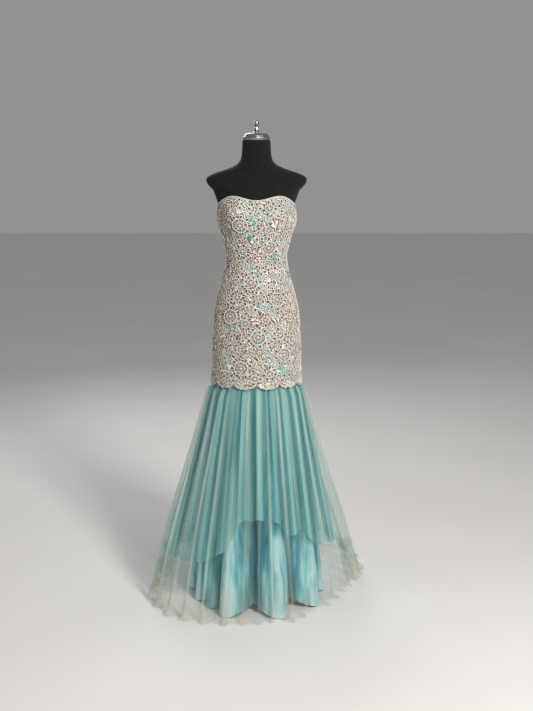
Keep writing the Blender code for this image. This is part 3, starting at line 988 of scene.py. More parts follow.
@dataclass(frozen=True)
class Jersey:
    """Black cotton jersey pulled over the form."""

    name: str = "black_jersey"
    dark: Colour = (0.004, 0.004, 0.005)
    light: Colour = (0.011, 0.010, 0.011)
    knit_round: float = 420.0
    knit_up: float = 380.0
    knit_depth: float = 0.0003
    lint_scale: float = 85.0

    def make(self) -> bpy.types.Material:
        """The finished material.

        Returns:
            The material.
        """
        shader = Shader(self.name)
        knit = shader.reckon(
            "MULTIPLY",
            shader.bands(shader.space((1, 1, 0)), self.knit_round, "DIAGONAL"),
            shader.bands(shader.space((0, 0, 1)), self.knit_up, "Z"),
        )
        lint = shader.noise(shader.space((1, 1, 1)), self.lint_scale, 5.0, 0.7)
        shader.set(
            Base_Color=shader.ramp(lint, ((0.42, self.dark), (0.75, self.light))),
            Roughness=shader.levels(lint, 0.78, 0.95),
            Specular_IOR_Level=0.2,
            Sheen_Weight=0.04,
            Sheen_Roughness=0.6,
        )
        shader.bump(knit, self.knit_depth, 0.5)
        return shader.material


@dataclass(frozen=True)
class Metal:
    """Turned or painted metal, with light rub marks."""

    name: str
    colour: Colour
    worn: Colour
    roughness: float
    metallic: float = 1.0
    rub_scale: float = 120.0

    def make(self) -> bpy.types.Material:
        """The finished material.

        Returns:
            The material.
        """
        shader = Shader(self.name)
        rub = shader.noise(shader.space((1, 1, 5)), self.rub_scale, 5.0, 0.65)
        shader.set(
            Base_Color=shader.ramp(rub, ((0.45, self.colour), (0.80, self.worn))),
            Metallic=self.metallic,
            Roughness=shader.levels(rub, self.roughness * 0.8, self.roughness * 1.5),
        )
        shader.bump(rub, 0.0002, 0.12)
        return shader.material


@dataclass(frozen=True)
class ZipTape:
    """Woven polyester tape."""

    name: str
    colour: Colour
    light: Colour
    weave_scale: float = 900.0
    weave_depth: float = 0.0002

    def make(self) -> bpy.types.Material:
        """The finished material.

        Returns:
            The material.
        """
        shader = Shader(self.name)
        weave = shader.bands(shader.space((1, 1, 1)), self.weave_scale, "Z")
        shader.set(
            Base_Color=shader.ramp(weave, ((0.2, self.colour), (0.9, self.light))),
            Roughness=shader.levels(weave, 0.5, 0.7),
            Sheen_Weight=0.2,
        )
        shader.bump(weave, self.weave_depth, 0.5)
        return shader.material


@dataclass(frozen=True)
class PaleFloor:
    """Plain pale studio floor."""

    name: str = "pale_floor"
    colour: Colour = (0.80, 0.79, 0.78)
    light: Colour = (0.83, 0.82, 0.81)

    def make(self) -> bpy.types.Material:
        """The finished material.

        Returns:
            The material.
        """
        shader = Shader(self.name)
        cloud = shader.noise(shader.space((1, 1, 1)), 1.4, 4.0)
        shader.set(
            Base_Color=shader.ramp(cloud, ((0.35, self.colour), (0.70, self.light))),
            Roughness=shader.levels(cloud, 0.80, 0.90),
        )
        return shader.material


@dataclass
class Finishes:
    """Every material of the gown, made once."""

    cord: bpy.types.Material = field(default_factory=lambda: LaceCord().make())
    net: bpy.types.Material = field(default_factory=lambda: NetOverSatin().make())
    satin: bpy.types.Material = field(default_factory=lambda: Satin().make())
    aqua_tulle: bpy.types.Material = field(
        default_factory=lambda: Tulle(
            name="aqua_tulle_net",
            # Light and dark: painted light on the gathers' crests and painted shade in their
            # valleys.
            light=(0.18, 0.48, 0.46),
            dark=(0.055, 0.25, 0.27),
            clear=0.50,
            dense=0.84,
            lines=300.0,
            # Painted highlight where the cloth lies doubled on a crest.
            doubled_and_highlit=(0.36, 0.70, 0.67),
            doubled_and_highlit_at=(0.76, 0.88),
        ).make()
    )
    champagne_tulle: bpy.types.Material = field(
        default_factory=lambda: Tulle(
            name="champagne_tulle_net",
            # Light and dark: painted light on the gathers' crests and painted shade in their
            # valleys.
            light=(0.46, 0.66, 0.58),
            dark=(0.16, 0.34, 0.31),
            clear=0.06,
            dense=0.50,
            lines=420.0,
            # Painted highlight where the cloth lies doubled on a crest.
            doubled_and_highlit=(0.62, 0.84, 0.76),
            doubled_and_highlit_at=(0.83, 0.93),
            floor_share=0.9,
        ).make()
    )
    jersey: bpy.types.Material = field(default_factory=lambda: Jersey().make())
    chrome: bpy.types.Material = field(
        default_factory=lambda: Metal("chrome", (0.36, 0.36, 0.37), (0.22, 0.22, 0.23), 0.26).make()
    )
    black_steel: bpy.types.Material = field(
        default_factory=lambda: Metal(
            "black_steel", (0.012, 0.012, 0.013), (0.05, 0.05, 0.05), 0.38, 0.6, 60.0
        ).make()
    )
    tape: bpy.types.Material = field(
        default_factory=lambda: ZipTape("zip_tape", (0.48, 0.43, 0.37), (0.66, 0.60, 0.52)).make()
    )


def finish(
    piece: bpy.types.Object,
    material: bpy.types.Material,
    body: Body = Body.GOWN,
    stands_for: tuple[str, ...] = (),
) -> bpy.types.Object:
    """Dresses a piece and hangs it on its body.

    Args:
        piece: Finished piece.
        material: Its material.
        body: Body that it moves with.
        stands_for: CAD nodes that it hides.

    Returns:
        The piece.
    """
    piece.data.materials.clear()
    piece.data.materials.append(material)
    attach(piece, body.value)
    if stands_for:
        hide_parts(*stands_for)
    LOG.info("%s: %d faces", piece.name, len(piece.data.polygons))
    return piece


def declare(
    piece: bpy.types.Object,
    area: float,
) -> None:
    """States the cut of a sheet, and logs how the made one compares.

    Args:
        piece: The sheet.
        area: Flat area of the cut.
    """
    real = sum(face.area for face in piece.data.polygons)
    LOG.info("%s: cut %.3f m2, surface %.3f m2", piece.name, area, real)


# Corded lace.


@dataclass(frozen=True)
class SmallShape:
    """One small lace shape: points as (across, up, height), and its faces."""

    points: Array
    faces: list[tuple[int, ...]]
    floor: float = 0.0

    def tone(self) -> Array:
        """How raised each point is: 0 on the floor of the shape and 1 on its crest."""
        height = self.points[:, 2]
        return np.clip((height - self.floor) / (height.max() - self.floor), 0.0, 1.0)

    @staticmethod
    def taken_from(piece: bpy.types.Object, floor: float = 0.0) -> "SmallShape":
        """Reads a modelled shape and removes its object.

        Modelling can leave faces in an order that changes from run to run, so all are put in
        order of their place.

        Args:
            piece: The modelled object.
            floor: Height that counts as its foot.

        Returns:
            The shape.
        """
        points = np.array([tuple(v.co) for v in piece.data.vertices])
        order = np.lexsort(np.round(points, 6).T)
        rank = np.argsort(order)
        faces = [tuple(int(rank[i]) for i in face.vertices) for face in piece.data.polygons]
        mesh = piece.data
        bpy.data.objects.remove(piece)
        bpy.data.meshes.remove(mesh)
        return SmallShape(points[order], sorted(faces, key=sorted), floor)


@dataclass
class LaceShapes:
    """The few shapes that the lace is made of, each modelled once."""

    cord: float = 0.0015
    crown: float = 0.0028
    plate_foot: float = -0.02
    plate_cord: float = 0.100
    plate_rise: float = 0.205
    plate_fall: float = -0.135
    plate_middle: float = 0.08
    # Height below which the cord's painted shade is darkest.
    plate_shade_floor: float = 0.045
    scroll_turns: float = 1.55
    scroll_start: float = 0.0020
    scroll_reach: float = 0.0098
    tendril_length: float = 0.030
    tendril_swing: float = 0.0060

    def outlined(self, name: str, corners: int, outline: Callable[[Array], Array]) -> SmallShape:
        """A plate with a cord round its edge.

        Args:
            name: Name while it is modelled.
            corners: Points round its edge.
            outline: Gives (across, up) for shares of a turn, for a plate one unit long.

        Returns:
            The shape, one unit long.
        """
        clear_selection()
        bpy.ops.mesh.primitive_circle_add(vertices=corners, radius=1.0, fill_type="NGON")
        piece = active_piece(name)
        edge = outline(np.arange(corners) / corners)
        for vertex, (across, up) in zip(piece.data.vertices, edge):
            vertex.co = (across, up, self.plate_foot)
        bpy.ops.object.mode_set(mode="EDIT")
        bpy.ops.mesh.select_all(action="SELECT")
        bpy.ops.mesh.normals_make_consistent(inside=False)
        for step in (self.plate_rise, self.plate_fall):
            bpy.ops.mesh.inset(thickness=self.plate_cord, depth=0.0)
            bpy.ops.transform.translate(value=(0.0, 0.0, step))
        bpy.ops.mesh.poke(offset=self.plate_middle)
        bpy.ops.object.mode_set(mode="OBJECT")
        return SmallShape.taken_from(piece, self.plate_shade_floor)

    def petal(self) -> SmallShape:
        """A round petal, narrow at its foot, that points up.

        Returns:
            The shape.
        """

        def outline(turn: Array) -> Array:
            """Outline of a petal at shares of a turn.

            Args:
                turn: Shares of a turn.

            Returns:
                Points, across and up.
            """
            angle = 2 * math.pi * turn
            up = 0.5 - 0.5 * np.cos(angle)
            wide = 0.44 * np.sin(angle) * (0.45 + 0.75 * up) ** 0.9
            return np.stack([-wide, up], axis=-1)

        return self.outlined("petal", 12, outline)

    def leaf(self) -> SmallShape:
        """A leaf, pointed at both ends.

        Returns:
            The shape.
        """

        def outline(turn: Array) -> Array:
            """Outline of a leaf at shares of a turn.

            Args:
                turn: Shares of a turn.

            Returns:
                Points, across and up.
            """
            angle = 2 * math.pi * turn
            up = 0.5 - 0.5 * np.cos(angle)
            wide = 0.27 * np.sign(np.sin(angle)) * np.abs(np.sin(angle)) ** 1.25
            return np.stack([-wide, up], axis=-1)

        return self.outlined("leaf", 10, outline)

    def strand(self, name: str, steps: int, route: Callable[[Array], Array]) -> SmallShape:
        """A cord along a route.

        Args:
            name: Name while it is modelled.
            steps: Stretches along it.
            route: Gives (across, up) in metres for shares of its length.

        Returns:
            The shape, in metres.
        """
        clear_selection()
        bpy.ops.mesh.primitive_grid_add(x_subdivisions=steps, y_subdivisions=2, size=2.0)
        piece = active_piece(name)
        flat = np.array([tuple(v.co) for v in piece.data.vertices]) / 2 + 0.5
        along, side = flat[:, 0], flat[:, 1] * 2 - 1
        way = unit(route(along + 1e-3) - route(along - 1e-3))
        aside = np.stack([-way[:, 1], way[:, 0]], axis=-1)
        taper = 0.55 + 0.45 * np.sin(math.pi * np.clip(along, 0.04, 0.96)) ** 0.5
        place = route(along) + aside * (side * self.cord * 1.25 * taper)[:, None]
        height = np.where(np.abs(side) < 0.5, self.crown * taper, 0.0)
        for vertex, (across, up), high in zip(piece.data.vertices, place, height):
            vertex.co = (across, up, high)
        return SmallShape.taken_from(piece)

    def scroll(self) -> SmallShape:
        """A small spiral with a tail.

        Returns:
            The shape.
        """

        def route(share: Array) -> Array:
            """Middle line of a scroll at shares of its length.

            Args:
                share: Shares of its length.

            Returns:
                Points, across and up.
            """
            angle = 2 * math.pi * (self.scroll_turns * share) + 0.4
            reach = self.scroll_start + self.scroll_reach * np.abs(share) ** 1.15
            return np.stack([reach * np.cos(angle), reach * np.sin(angle)], axis=-1)

        return self.strand("scroll", 18, route)

    def tendril(self) -> SmallShape:
        """A short cord with a double bend.

        Returns:
            The shape.
        """

        def route(share: Array) -> Array:
            """Middle line of a tendril at shares of its length."""
            swing = self.tendril_swing * np.sin(2 * math.pi * share)
            return np.stack([self.tendril_length * (share - 0.5), swing], axis=-1)

        return self.strand("tendril", 10, route)

    def eyelet(self) -> SmallShape:
        """A small ring of cord, one unit in reach.

        Returns:
            The shape.
        """
        clear_selection()
        bpy.ops.mesh.primitive_torus_add(
            major_segments=10, minor_segments=4, major_radius=0.78, minor_radius=0.26
        )
        return SmallShape.taken_from(active_piece("eyelet"))

    def hoop(self) -> SmallShape:
        """A cord laid in a ring of eight shallow lobes, one unit in reach.

        Returns:
            The shape.
        """
        clear_selection()
        bpy.ops.mesh.primitive_torus_add(
            major_segments=32, minor_segments=4, major_radius=1.0, minor_radius=0.085
        )
        piece = active_piece("hoop")
        for vertex in piece.data.vertices:
            turn = math.atan2(vertex.co.y, vertex.co.x)
            grow = 0.93 + 0.09 * abs(math.cos(4.0 * turn))
            vertex.co.x *= grow
            vertex.co.y *= grow
            vertex.co.z = vertex.co.z * 1.5 + 0.04
        return SmallShape.taken_from(piece)

    def bead(self) -> SmallShape:
        """A low round knot of thread, one unit across.

        Returns:
            The shape.
        """
        clear_selection()
        bpy.ops.mesh.primitive_uv_sphere_add(segments=8, ring_count=5, radius=0.5)
        piece = active_piece("bead")
        for vertex in piece.data.vertices:
            vertex.co.z = max(vertex.co.z, -0.1) * 1.1
        return SmallShape.taken_from(piece)


@dataclass(frozen=True)
class Sprig:
    """One copy of a small shape inside a motif."""

    shape: str
    size: float
    turn_deg: float
    across: float
    up: float
    lift: float = 0.0
    widen: float = 1.0


@dataclass
class LaceMotifs:
    """Motifs as lists of sprigs, in metres round their own middle."""

    large_reach: float = 0.0315
    rosette_reach: float = 0.0215
    small_reach: float = 0.0136

    def ring(
        self, count: int, inner: float, size: float, lift: float, widen: float, start: float = 0.0
    ) -> list[Sprig]:
        """Petals that stand round a middle.

        Args:
            count: Number of petals.
            inner: Reach of their feet.
            size: Their length.
            lift: Their height off the cloth.
            widen: Their width against their own.
            start: Turn of the first, in degrees.

        Returns:
            One sprig for each petal.
        """
        sprigs = []
        for k in range(count):
            turn = start + 360.0 * k / count
            across, up = math.sin(math.radians(turn)) * inner, math.cos(math.radians(turn)) * inner
            sprigs.append(Sprig("petal", size, turn, across, up, lift, widen))
        return sprigs

    def large(self) -> list[Sprig]:
        """A full flower with three rings of petals between corded hoops.

        Returns:
            Its sprigs.
        """
        sprigs = self.ring(9, 0.0175, 0.0145, 0.0002, 1.02)
        sprigs += self.ring(7, 0.0085, 0.0115, 0.0006, 1.00, 20.0)
        sprigs += self.ring(5, 0.0016, 0.0082, 0.0010, 1.05, 10.0)
        sprigs += [Sprig("hoop", 0.0190, 12.0, 0.0, 0.0, 0.0022)]
        sprigs += [Sprig("hoop", 0.0100, 5.0, 0.0, 0.0, 0.0026)]
        return sprigs + [Sprig("bead", 0.0055, 0.0, 0.0, 0.0, 0.0018)]

    def rosette(self) -> list[Sprig]:
        """A flower with two rings of petals round a hoop.

        Returns:
            Its sprigs.
        """
        sprigs = self.ring(7, 0.0085, 0.0135, 0.0002, 1.10)
        sprigs += self.ring(4, 0.0014, 0.0085, 0.0007, 1.15, 15.0)
        sprigs += [Sprig("hoop", 0.0100, 8.0, 0.0, 0.0, 0.0018)]
        return sprigs + [Sprig("bead", 0.0046, 0.0, 0.0, 0.0, 0.0016)]

    def small(self) -> list[Sprig]:
        """A little flower."""
        sprigs = self.ring(5, 0.0026, 0.0110, 0.0002, 1.15)
        return sprigs + [Sprig("eyelet", 0.0042, 0.0, 0.0, 0.0, 0.0012)]

    def spray(self) -> list[Sprig]:
        """Three leaves on one foot.

        Returns:
            Its sprigs.
        """
        return [
            Sprig("leaf", 0.0150, turn, 0.0, -0.0070, 0.0002)
            for turn in (-48.0, 0.0, 48.0)
        ]

    def scroll(self) -> list[Sprig]:
        """A single spiral."""
        return [Sprig("scroll", 1.0, 0.0, 0.0, 0.0), Sprig("bead", 0.0032, 0.0, 0.0, 0.0, 0.0004)]

    def tendril(self) -> list[Sprig]:
        """A single bent cord."""
        return [Sprig("tendril", 1.0, 0.0, 0.0, 0.0)]

    def knot(self) -> list[Sprig]:
        """A single thread knot."""
        return [Sprig("bead", 0.0046, 0.0, 0.0, 0.0)]


@dataclass(frozen=True)
class LacePanel:
    """One lace panel of the sheath, between two seams."""

    piece: str
    node: str
    first_deg: float
    last_deg: float
    flat: tuple[float, float]
    area: float


@dataclass
class LaceSheath:
    """Satin panels with corded lace over them, from the neckline to the scallops."""

    body: BodyShape
    panels: tuple[LacePanel, ...] = (
        LacePanel("front_lace", "lace_front", -30.0, 30.0, (0.180, 0.680), 0.096),
        LacePanel("side_front_lace_r", "lace_side_front_r", 30.0, 90.0, (0.155, 0.680), 0.081),
        LacePanel("side_back_lace_r", "lace_side_back_r", 90.0, 150.0, (0.155, 0.650), 0.077),
        LacePanel("back_lace_r", "lace_back_r", 150.0, 180.0, (0.090, 0.625), 0.043),
        LacePanel("back_lace_l", "lace_back_l", -180.0, -150.0, (0.090, 0.625), 0.043),
        LacePanel("side_back_lace_l", "lace_side_back_l", -150.0, -90.0, (0.155, 0.650), 0.077),
        LacePanel("side_front_lace_l", "lace_side_front_l", -90.0, -30.0, (0.155, 0.680), 0.081),
    )
    seam: float = 0.0005
    shell: float = 0.0011
    shell_out: float = 0.0003
    zip_bare_deg: float = 2.2
    eyelets: int = 190
    top_eyelet: tuple[float, float] = (-0.0046, 0.0023)
    bottom_eyelet: tuple[float, float] = (0.0034, 0.0028)
    top_cord: tuple[float, float, float] = (-0.0014, 0.0012, 0.0024)
    bottom_cord: tuple[float, float, float] = (0.0074, 0.0013, 0.0024)
    edge_profile: Table = ((-1.0, 0.0), (-0.6, 0.75), (0.1, 1.0), (0.7, 0.7), (1.0, 0.0))
    edge_steps_per_deg: float = 2.0
    edge_twist: float = 0.22
    edge_plies: float = 120.0
    fan_turns_deg: tuple[float, ...] = (-84.0, -56.0, -28.0, 0.0, 28.0, 56.0, 84.0)
    fan_petal: tuple[float, float, float] = (0.0070, 0.0150, 0.0190)
    fan_widen: float = 1.5
    fan_foot: float = 0.024
    grain: float = 1.28
    jitter: float = 0.06
    jitter_deg: float = 5.0
    petal_height: float = 1.25
    cloth_per_deg: float = 0.0024
    columns_per_deg: float = 0.8
    rows: int = 64
    large_flowers: Table = (
        # direction_deg, z, turn_deg
        (-24.0, 1.380, 10.0),
        (22.0, 1.300, 35.0),
        (-9.0, 1.180, 5.0),
        (31.0, 1.120, 60.0),
        (-38.0, 1.060, 20.0),
        (2.0, 0.990, 48.0),
        (-20.0, 0.880, 30.0),
        (38.0, 0.925, 15.0),
        (78.0, 1.385, 8.0),
        (-80.0, 1.330, 52.0),
        (84.0, 1.050, 41.0),
        (-86.0, 0.950, 22.0),
        (128.0, 1.240, 14.0),
        (-126.0, 1.150, 63.0),
        (140.0, 0.960, 33.0),
        (-146.0, 1.330, 9.0),
        (-160.0, 0.900, 26.0),
        (162.0, 1.120, 56.0),
    )
    bare_spots: Table = (
        # direction_deg, z, radius where the satin shows
        (14.0, 1.395, 0.010),
        (26.0, 1.372, 0.014),
        (-12.0, 1.340, 0.011),
        (19.0, 1.262, 0.010),
        (24.0, 1.205, 0.013),
        (33.0, 1.195, 0.009),
        (-16.0, 1.150, 0.008),
        (8.0, 1.095, 0.012),
        (27.0, 1.030, 0.011),
        (-28.0, 0.975, 0.010),
        (15.0, 0.925, 0.011),
        (-6.0, 0.905, 0.009),
        (34.0, 0.868, 0.012),
        (-40.0, 0.880, 0.010),
        (70.0, 1.200, 0.011),
        (-66.0, 1.240, 0.009),
        (104.0, 0.980, 0.012),
        (-110.0, 1.080, 0.011),
        (150.0, 1.190, 0.010),
        (-150.0, 1.020, 0.013),
    )
    seed: int = 21

    def shells(self, finishes: Finishes) -> dict[str, bpy.types.Object]:
        """The satin panels that carry the lace.

        Args:
            finishes: Materials.

        Returns:
            Each panel's satin, by the panel's name.
        """
        made = {}
        for panel in self.panels:
            span = panel.last_deg - panel.first_deg

            def place(
                u: Array, v: Array, panel: LacePanel = panel, span: float = span
            ) -> Laid:
                """Points, cloth coordinates and tone at shares across and up the panel.

                Args:
                    u: Shares across.
                    v: Shares up.
                    panel: The panel.
                    span: Its width in degrees.

                Returns:
                    Points, cloth coordinates and tone.
                """
                degrees = panel.first_deg + span * u
                bottom, top = self.body.scalloped_edge(degrees), self.body.neckline(degrees)
                z = bottom + (top - bottom) * v
                normals, girth, _ = self.body.frame_at(degrees, z)
                inward = self.seam / 2 / girth * (1 - 2 * u) * (np.abs(1 - 2 * u) > 0.999)
                points = self.body.raised(degrees + inward, z, np.full_like(z, self.shell_out))
                cloth = np.stack([degrees * self.cloth_per_deg, z], axis=-1)
                return points, cloth, np.ones_like(z)

            columns = int(span * self.columns_per_deg)
            shell = lay_sheet(panel.piece + "_satin", columns, self.rows, place)
            apply_modifier(shell, "SOLIDIFY", thickness=self.shell, offset=-1.0)
            shade_soft(shell)
            finish(shell, finishes.net)
            made[panel.piece] = shell
        return made

    def free(self, taken: list[tuple[float, ...]], degrees: float, z: float, reach: float) -> bool:
        """Whether a motif of that reach still fits there.

        Args:
            taken: Motifs laid so far.
            degrees: Its direction.
            z: Its height.
            reach: Its reach.

        Returns:
            Whether it is clear of the others.
        """
        if not taken:
            return True
        held = np.array(taken)
        girth = self.body.frame_at(np.array([degrees]), np.array([z]))[1][0]
        across = turned(held[:, 0] - degrees) * girth
        return bool((np.hypot(across, held[:, 1] - z) > held[:, 2] + reach).all())

    def scatter(self) -> list[tuple[str, float, float, float, float]]:
        """Places for the motifs, large ones first.

        Returns:
            Rows of (motif, direction, height, turn, size).
        """
        chance = np.random.default_rng(self.seed)
        motifs = LaceMotifs()
        taken = [tuple(row) for row in self.bare_spots]
        places = []
        for degrees, z, turn in self.large_flowers:
            places.append(("large", degrees, z, turn, 1.0))
            taken.append((degrees, z, motifs.large_reach * self.grain * 0.92))
        plan = (
            # motif, reach, tries, how tightly, where it may start off the edges
            ("rosette", motifs.rosette_reach, 6000, 0.86, 0.016),
            ("small", motifs.small_reach, 6000, 0.82, 0.010),
            ("spray", 0.0085, 6000, 0.76, 0.008),
            ("scroll", 0.0096, 5000, 0.74, 0.007),
            ("tendril", 0.0072, 5000, 0.70, 0.005),
            ("knot", 0.0026, 4000, 0.90, 0.004),
        )
        for motif, reach, tries, tight, margin in plan:
            degrees = chance.uniform(-180.0, 180.0, tries)
            share = chance.uniform(0.0, 1.0, tries)
            turns = chance.uniform(0.0, 360.0, tries)
            sizes = chance.uniform(0.90, 1.10, tries)
            low = self.body.scalloped_edge(degrees) + margin + 0.010
            high = self.body.neckline(degrees) - margin - 0.009
            heights = low + (high - low) * share
            for row in zip(degrees, heights, turns, sizes):
                near_zip = 180.0 - abs(row[0]) < self.zip_bare_deg and row[1] > 1.06
                own = reach * tight * row[3] * self.grain
                if near_zip or not self.free(taken, row[0], row[1], own):
                    continue
                places.append((motif, *row))
                taken.append((row[0], row[1], own))
        return places

    def copies(self) -> dict[str, Stitchwork]:
        """Lays every motif on its panel.

        Returns:
            The lace of each panel, by the panel's name.
        """
        shapes = LaceShapes()
        parts = {
            "petal": shapes.petal(),
            "leaf": shapes.leaf(),
            "scroll": shapes.scroll(),
            "tendril": shapes.tendril(),
            "hoop": shapes.hoop(),
            "eyelet": shapes.eyelet(),
            "bead": shapes.bead(),
        }
        motifs = LaceMotifs()
        works = {panel.piece: Stitchwork() for panel in self.panels}
        chance = np.random.default_rng(self.seed + 1)
        for motif, degrees, z, turn, size in self.scatter():
            whole = math.radians(turn)
            for sprig in getattr(motifs, motif)():
                shape = parts[sprig.shape]
                grow = size * sprig.size * chance.uniform(1.0 - self.jitter, 1.0 + self.jitter)
                flat = shape.points.copy()
                thick = size if sprig.shape in ("scroll", "tendril") else grow
                wide = grow * self.grain
                flat[:, 0] *= wide * sprig.widen
                flat[:, 1] *= wide
                flat[:, 2] = flat[:, 2] * thick + sprig.lift
                if sprig.shape in ("petal", "leaf"):
                    flat[:, 2] = flat[:, 2] * self.petal_height
                off = chance.uniform(-self.jitter_deg, self.jitter_deg)
                own = math.radians(sprig.turn_deg + off)
                across = flat[:, 0] * math.cos(own) + flat[:, 1] * math.sin(own)
                up = -flat[:, 0] * math.sin(own) + flat[:, 1] * math.cos(own)
                across = across + sprig.across * size * self.grain
                up = up + sprig.up * size * self.grain
                points = np.stack(
                    [
                        across * math.cos(whole) + up * math.sin(whole),
                        -across * math.sin(whole) + up * math.cos(whole),
                        flat[:, 2],
                    ],
                    axis=-1,
                )
                self.lay(works, degrees, z, points, shape.faces, shape.tone())
        return works

    def lay(
        self,
        works: dict[str, Stitchwork],
        degrees: float,
        z: float,
        flat: Array,
        faces: list[tuple[int, ...]],
        tone: Array,
    ) -> None:
        """Bends one small shape over the sheath at its place.

        Args:
            works: Stitchwork of each panel.
            degrees: Direction of its middle.
            z: Height of its middle.
            flat: Its points as (across, up, height).
            faces: Its faces.
            tone: How raised each point is.
        """
        _, girth, rise = self.body.frame_at(np.array([degrees]), np.array([z]))
        turns = degrees + flat[:, 0] / girth[0]
        heights = z + flat[:, 1] / rise[0]
        low, high = self.body.scalloped_edge(turns) + 0.002, self.body.neckline(turns) - 0.002
        heights = np.clip(heights, low, high)
        points = self.body.raised(turns, heights, flat[:, 2] + self.shell_out)
        works[self.panel_at(degrees)].add(points, faces, tone)

    def panel_at(self, degrees: float) -> str:
        """The panel that a direction lies in.

        Args:
            degrees: The direction.

        Returns:
            Name of the panel.
        """
        here = float(turned(degrees))
        for panel in self.panels:
            if panel.first_deg <= here < panel.last_deg:
                return panel.piece
        return self.panels[0].piece

    def edge_cords(self, works: dict[str, Stitchwork]) -> None:
        """A cord along the neckline, and one above the eyelets of the scallops.

        Args:
            works: The lace of each panel.
        """
        for panel in self.panels:
            steps = int((panel.last_deg - panel.first_deg) * self.edge_steps_per_deg)
            degrees = np.linspace(panel.first_deg, panel.last_deg, steps + 1)
            twist = 1.0 + self.edge_twist * np.sin(np.radians(degrees * self.edge_plies))
            top = self.body.neckline(degrees)
            bottom = self.body.scalloped_edge(degrees)
            for edge, off, half, crown in ((top, *self.top_cord), (bottom, *self.bottom_cord)):
                lines = [
                    self.body.raised(degrees, edge + off + half * aside, crown * high * twist)
                    for aside, high in self.edge_profile
                ]
                tone = np.repeat([high for _, high in self.edge_profile], steps + 1)
                works[panel.piece].add(np.vstack(lines), ribbon_faces(len(lines), steps), tone)

    def edge_eyelets(self, works: dict[str, Stitchwork]) -> None:
        """A row of eyelets below the neckline, and one round the scallops.

        Args:
            works: The lace of each panel.
        """
        eyelet = LaceShapes().eyelet()
        for k in range(self.eyelets):
            degrees = -180.0 + 360.0 * (k + 0.5) / self.eyelets
            here = np.array([degrees])
            top, bottom = self.body.neckline(here)[0], self.body.scalloped_edge(here)[0]
            for edge, off, reach in ((top, *self.top_eyelet), (bottom, *self.bottom_eyelet)):
                points = eyelet.points * reach
                self.lay(works, degrees, edge + off, points, eyelet.faces, eyelet.tone())

    def fans(self, works: dict[str, Stitchwork]) -> None:
        """A fan of narrow petals in each scallop.

        Args:
            works: The lace of each panel.
        """
        petal = LaceShapes().petal()
        each = 360.0 / self.body.scallops
        foot = self.body.scallop_bottom + self.fan_foot
        for k in range(self.body.scallops):
            middle = turned(each * (k + 0.5))
            for turn in self.fan_turns_deg:
                own = math.radians(180.0 + turn)
                flat = petal.points * self.fan_petal
                across = flat[:, 0] * math.cos(own) + flat[:, 1] * math.sin(own)
                up = -flat[:, 0] * math.sin(own) + flat[:, 1] * math.cos(own)
                flat = np.stack([across * self.fan_widen, up, flat[:, 2]], axis=-1)
                self.lay(works, float(middle), foot, flat, petal.faces, petal.tone())

    def build(self, finishes: Finishes) -> None:
        """Makes the panels and their lace.

        Args:
            finishes: Materials.
        """
        shells = self.shells(finishes)
        works = self.copies()
        self.edge_cords(works)
        self.edge_eyelets(works)
        self.fans(works)
        for panel in self.panels:
            lace = works[panel.piece].piece(panel.piece + "_cords")
            finish(lace, finishes.cord, stands_for=(panel.node,))
            declare(
                shells[panel.piece],
                panel.area,
            )


# Skirts.


@dataclass(frozen=True)
class Gore:
    """One gore of a skirt, from its own seam round to the next."""

    piece: str
    node: str
    first_deg: float
    last_deg: float
    flat: tuple[float, float]
    area: float


